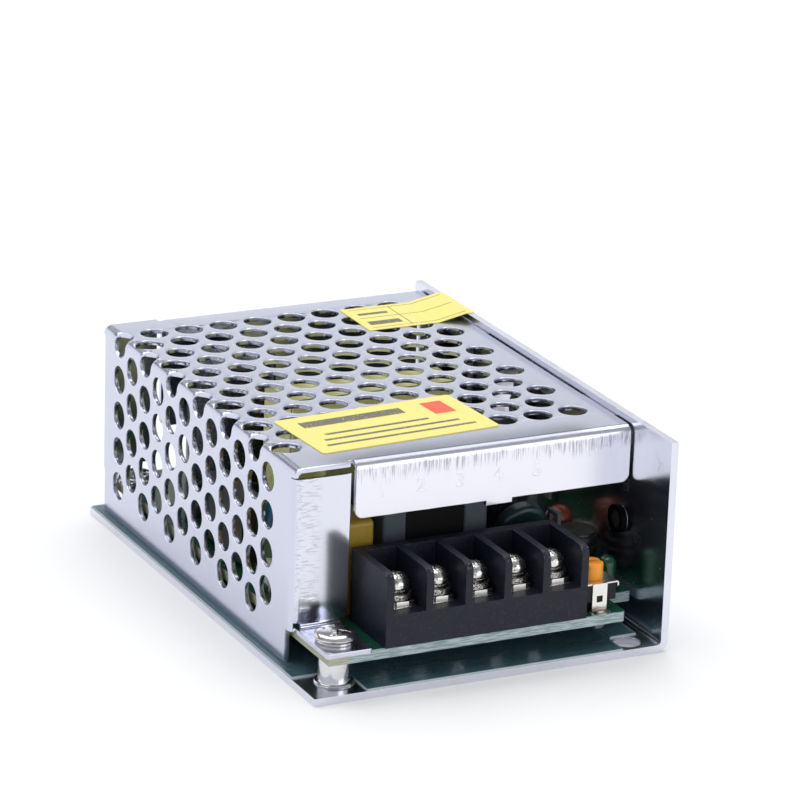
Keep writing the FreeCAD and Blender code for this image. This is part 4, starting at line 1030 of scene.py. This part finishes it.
class SUPPLY_OT_terminals(bpy.types.Operator):
    """Finishes the terminal block, its plates, washers and screws"""

    bl_idname = "supply.terminals"
    bl_label = "Terminals"

    def execute(self, context):
        soften("terminal_block", "block_plastic", sizes().edge_round)
        for number in range(1, 6):
            clamp = "clamp_%d" % number
            soften("terminal_plate_%d" % number, "tinned_metal", 0.05 * MM)
            washer = "square_washer_%d" % number
            # Each square washer's finish has a painted highlight on its front face
            painted_lighting = clamp_washer_finish(middle_of(washer)[0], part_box(washer)[1].z / MM)
            soften(washer, "screw_nickel", 0.08 * MM, clamp, painted_lighting)
            self.add_washer(number, clamp)
            self.add_screw(number)
        return {"FINISHED"}

    def add_washer(self, number, clamp):
        """A thick spring washer with a rough rim."""
        node = "spring_washer_%d" % number
        low, high = (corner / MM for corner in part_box(node))
        x, y = middle_of(node)
        inner = 1.6
        outer = high.x - x + 0.35
        outline = [(inner, low.z), (outer - 0.12, low.z), (outer, low.z + 0.14), (outer, high.z - 0.14)]
        outline += [(outer - 0.12, high.z), (inner, high.z), (inner, low.z)]
        bm = bmesh.new()
        spun(bm, outline, x, y, 40)
        add_piece(node + "_rough", in_metres(bm), "screw_nickel", clamp, (node,), rough_nickel_finish())

    def add_screw(self, number):
        """A round high head with a cross recess, a neck and a shank."""
        node = "terminal_screw_%d" % number
        low, high = (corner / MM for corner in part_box(node))
        x, y = middle_of(node)
        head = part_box("spring_washer_%d" % number)[1].z / MM
        shank, widest = 1.45, 2.18
        outline = [(0.0, low.z), (shank - 0.25, low.z), (shank, low.z + 0.3), (shank, head + 0.12)]
        outline += [(widest - 0.38, head + 0.16), (widest - 0.12, head + 0.5), (widest, head + 0.95)]
        outline += dome(widest, head + 1.1, high.z)
        bm = bmesh.new()
        spun(bm, outline, x, y, 36)
        sink_cross(bm, x, y, length=1.3, width=0.3, depth=1.1, level=head + 1.2)
        plating = worn_nickel_finish()
        add_piece(node + "_round", in_metres(bm), "screw_nickel", "screw_%d" % number, (node,), plating)


class SUPPLY_OT_trimmer(bpy.types.Operator):
    """Finishes the trimmer and the indicator lamp"""

    bl_idname = "supply.trimmer"
    bl_label = "Trimmer and lamp"

    def execute(self, context):
        soften("trimmer_base", "trimmer_plastic", 0.08 * MM)
        soften("trimmer_strap", "tinned_metal", 0.04 * MM)
        soften("trimmer_rotor", "rotor_plastic", 0.08 * MM, "trimmer_knob")
        soften("indicator_lamp", "lamp_lens", 0.06 * MM)
        self.add_solder()
        return {"FINISHED"}

    def add_solder(self):
        """The solder that holds the strap's foot on the board."""
        bm = bmesh.new()
        radius = 1.15
        outline = [(0.0, BOARD_TOP - 0.05), (radius, BOARD_TOP - 0.05)]
        outline += dome(radius, BOARD_TOP, BOARD_TOP + 0.55)
        spun(bm, outline, *STRAP_FOOT, 24)
        dull = metal("solder_dull", (0.34, 0.30, 0.27), 0.38, 0.1, 0.6, 0.2, 0.03)
        add_piece("strap_solder", in_metres(bm), "tinned_metal", material=dull.material)


class SUPPLY_OT_parts(bpy.types.Operator):
    """Finishes the parts that stand on the board"""

    bl_idname = "supply.parts"
    bl_label = "Board parts"

    def execute(self, context):
        rows = (
            ("mustard_plastic", "filter_capacitor"),
            ("former_plastic", "filter_former"),
            ("ferrite", "filter_core"),
            ("copper_winding", "filter_winding"),
            ("green_disc", "disc_capacitor"),
            ("blue_disc", "thermistor"),
            ("red_brown_bead", "dipped_capacitor"),
            ("sleeve_black", "drum_choke"),
            ("can_sleeve", "output_capacitor_1", "output_capacitor_2", "bulk_capacitor"),
            ("sleeve_black", "small_capacitor"),
            ("yellow_tape", *("transformer_" + name for name in ("core", "tape", "former", "winding"))),
            ("package_black", "rectifier", "transistor"),
            ("pad_grey", "insulating_pads"),
            ("package_black", "bridge_rectifier"),
            ("fuse_glass", "fuse"),
            ("package_black", "controller_chip", "optocoupler"),
            ("resistor_body", "resistors"),
            ("package_black", "diodes"),
        )
        for slot, *nodes in rows:
            for node in nodes:
                soften(node, slot, 0.12 * MM)
        blackened = metal("wall_screw_blackened", (0.05, 0.05, 0.055), 0.35, 0.08, 0.8, 0.2, 0.01)
        soften("wall_screws", "screw_nickel", 0.1 * MM, material=blackened.material)
        return {"FINISHED"}


class SUPPLY_OT_labels(bpy.types.Operator):
    """Finishes the two labels"""

    bl_idname = "supply.labels"
    bl_label = "Labels"

    def execute(self, context):
        place = middle_of("front_label")
        bars = [((-3.6, 4.2), (8.6, 1.2)), ((-2.0, -0.6), (8.8, 0.35)), ((-0.6, -2.8), (11.4, 0.35))]
        field = ((10.6, 3.2), (1.8, 2.6))
        rules = [((-0.2, -5.0), (12.6, 0.35))]
        front = label_finish("front_label_print", place, FRONT_LABEL_TURN, bars, field, rules)
        keep_node("front_label", "label_paper", front.material)
        bars = [((-5.0, 2.2), (2.6, 0.5)), ((-5.0, -2.4), (2.8, 0.9))]
        rules = [((-1.2, 0.0), (0.09, 4.6))] + [((0.0, v), (8.2, 0.09)) for v in (-4.6, 0.3, 4.6)]
        rear = label_finish("rear_label_print", middle_of("rear_label"), 0.0, bars, None, rules)
        keep_node("rear_label", "label_paper", rear.material)
        return {"FINISHED"}


class SUPPLY_OT_stage(bpy.types.Operator):
    """Sets up the floor, the lights and the camera"""

    bl_idname = "supply.stage"
    bl_label = "Stage"

    def execute(self, context):
        stage = context.scene.supply_stage
        self.add_camera(stage)
        self.add_floor()
        self.add_lights(stage)
        return {"FINISHED"}

    def add_camera(self, stage):
        camera = put("camera", bpy.data.cameras.new("camera"))
        camera.data.sensor_width = 36.0
        camera.data.lens = stage.lens
        camera.data.clip_start = 0.02
        camera.data.clip_end = 20.0
        tilt = Matrix.Rotation(math.pi / 2 - stage.elevation, 4, "X")
        aim = Matrix.Rotation(stage.azimuth, 4, "Z") @ tilt @ Matrix.Rotation(stage.roll, 4, "Z")
        camera.matrix_world = Matrix.Translation(stage.place) @ aim
        bpy.context.scene.camera = camera

    def add_floor(self):
        bm = bmesh.new()
        bmesh.ops.create_grid(bm, x_segments=1, y_segments=1, size=6.0)
        floor = put("floor", mesh_of("floor", bm))
        floor.data.materials.append(Finish("floor_white", (0.93, 0.93, 0.93), 0.9).material)

    def add_lights(self, stage):
        """A room that is bright near the floor and darker above, and two soft lights."""
        world = bpy.data.worlds.new("room")
        room = Nodes(world, "Background")
        direction = room.node("ShaderNodeTexCoord", {}, {}, "Generated")
        height = room.part(direction, "Z")
        behind = room.part(direction, "Y").ramp(0.0, 0.6)
        upper = behind * (stage.back_light - stage.ceiling_light) + stage.ceiling_light
        strength = height.ramp(*ROOM_TURNS_DARKER) * (upper - stage.room_light) + stage.room_light
        room.set("Color", (0.97, 0.98, 1.0))
        room.set("Strength", strength)
        bpy.context.scene.world = world
        self.add_sun("key_light", (0.0, 0.36, 1.0), stage.key_light, 70.0)
        self.add_sun("front_light", (0.45, -1.0, 0.35), stage.front_light, 35.0)

    def add_sun(self, name, direction, strength, spread):
        light = bpy.data.lights.new(name, "SUN")
        light.energy = strength
        light.angle = math.radians(spread)
        lamp = put(name, light)
        lamp.location = direction
        lamp.rotation_euler = Vector(direction).to_track_quat("Z", "Y").to_euler()


class SUPPLY_PT_panel(bpy.types.Panel):
    """Lists the sizes, the colours and the operators"""

    bl_label = "Power Supply"
    bl_idname = "SUPPLY_PT_panel"
    bl_space_type = "VIEW_3D"
    bl_region_type = "UI"
    bl_category = "Power Supply"

    def draw(self, context):
        scene = context.scene
        for group in (scene.supply_sizes, scene.supply_colours, scene.supply_stage):
            for name in group.__annotations__:
                self.layout.prop(group, name)
        for operator in operators:
            self.layout.operator(operator.bl_idname)


groups = {"supply_sizes": SupplySizes, "supply_colours": SupplyColours, "supply_stage": SupplyStage}
operators = (
    SUPPLY_OT_stage,
    SUPPLY_OT_chassis,
    SUPPLY_OT_board,
    SUPPLY_OT_cover,
    SUPPLY_OT_terminals,
    SUPPLY_OT_trimmer,
    SUPPLY_OT_parts,
    SUPPLY_OT_labels,
)


def register():
    for cls in (*groups.values(), *operators, SUPPLY_PT_panel):
        bpy.utils.register_class(cls)
    for name, group in groups.items():
        setattr(bpy.types.Scene, name, PointerProperty(type=group))


def unregister():
    for name in groups:
        delattr(bpy.types.Scene, name)
    for cls in (SUPPLY_PT_panel, *reversed(operators), *groups.values()):
        bpy.utils.unregister_class(cls)


def main():
    """Makes every piece."""
    register()
    for thing in list(bpy.data.objects):
        if thing.name in ("Cube", "Light", "Camera") and "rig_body" not in thing:
            bpy.data.objects.remove(thing)
    bpy.context.scene.view_settings.view_transform = "Standard"
    make_finishes()
    for operator in operators:
        group, name = operator.bl_idname.split(".")
        getattr(getattr(bpy.ops, group), name)()


if __name__ == "__main__":
    main()
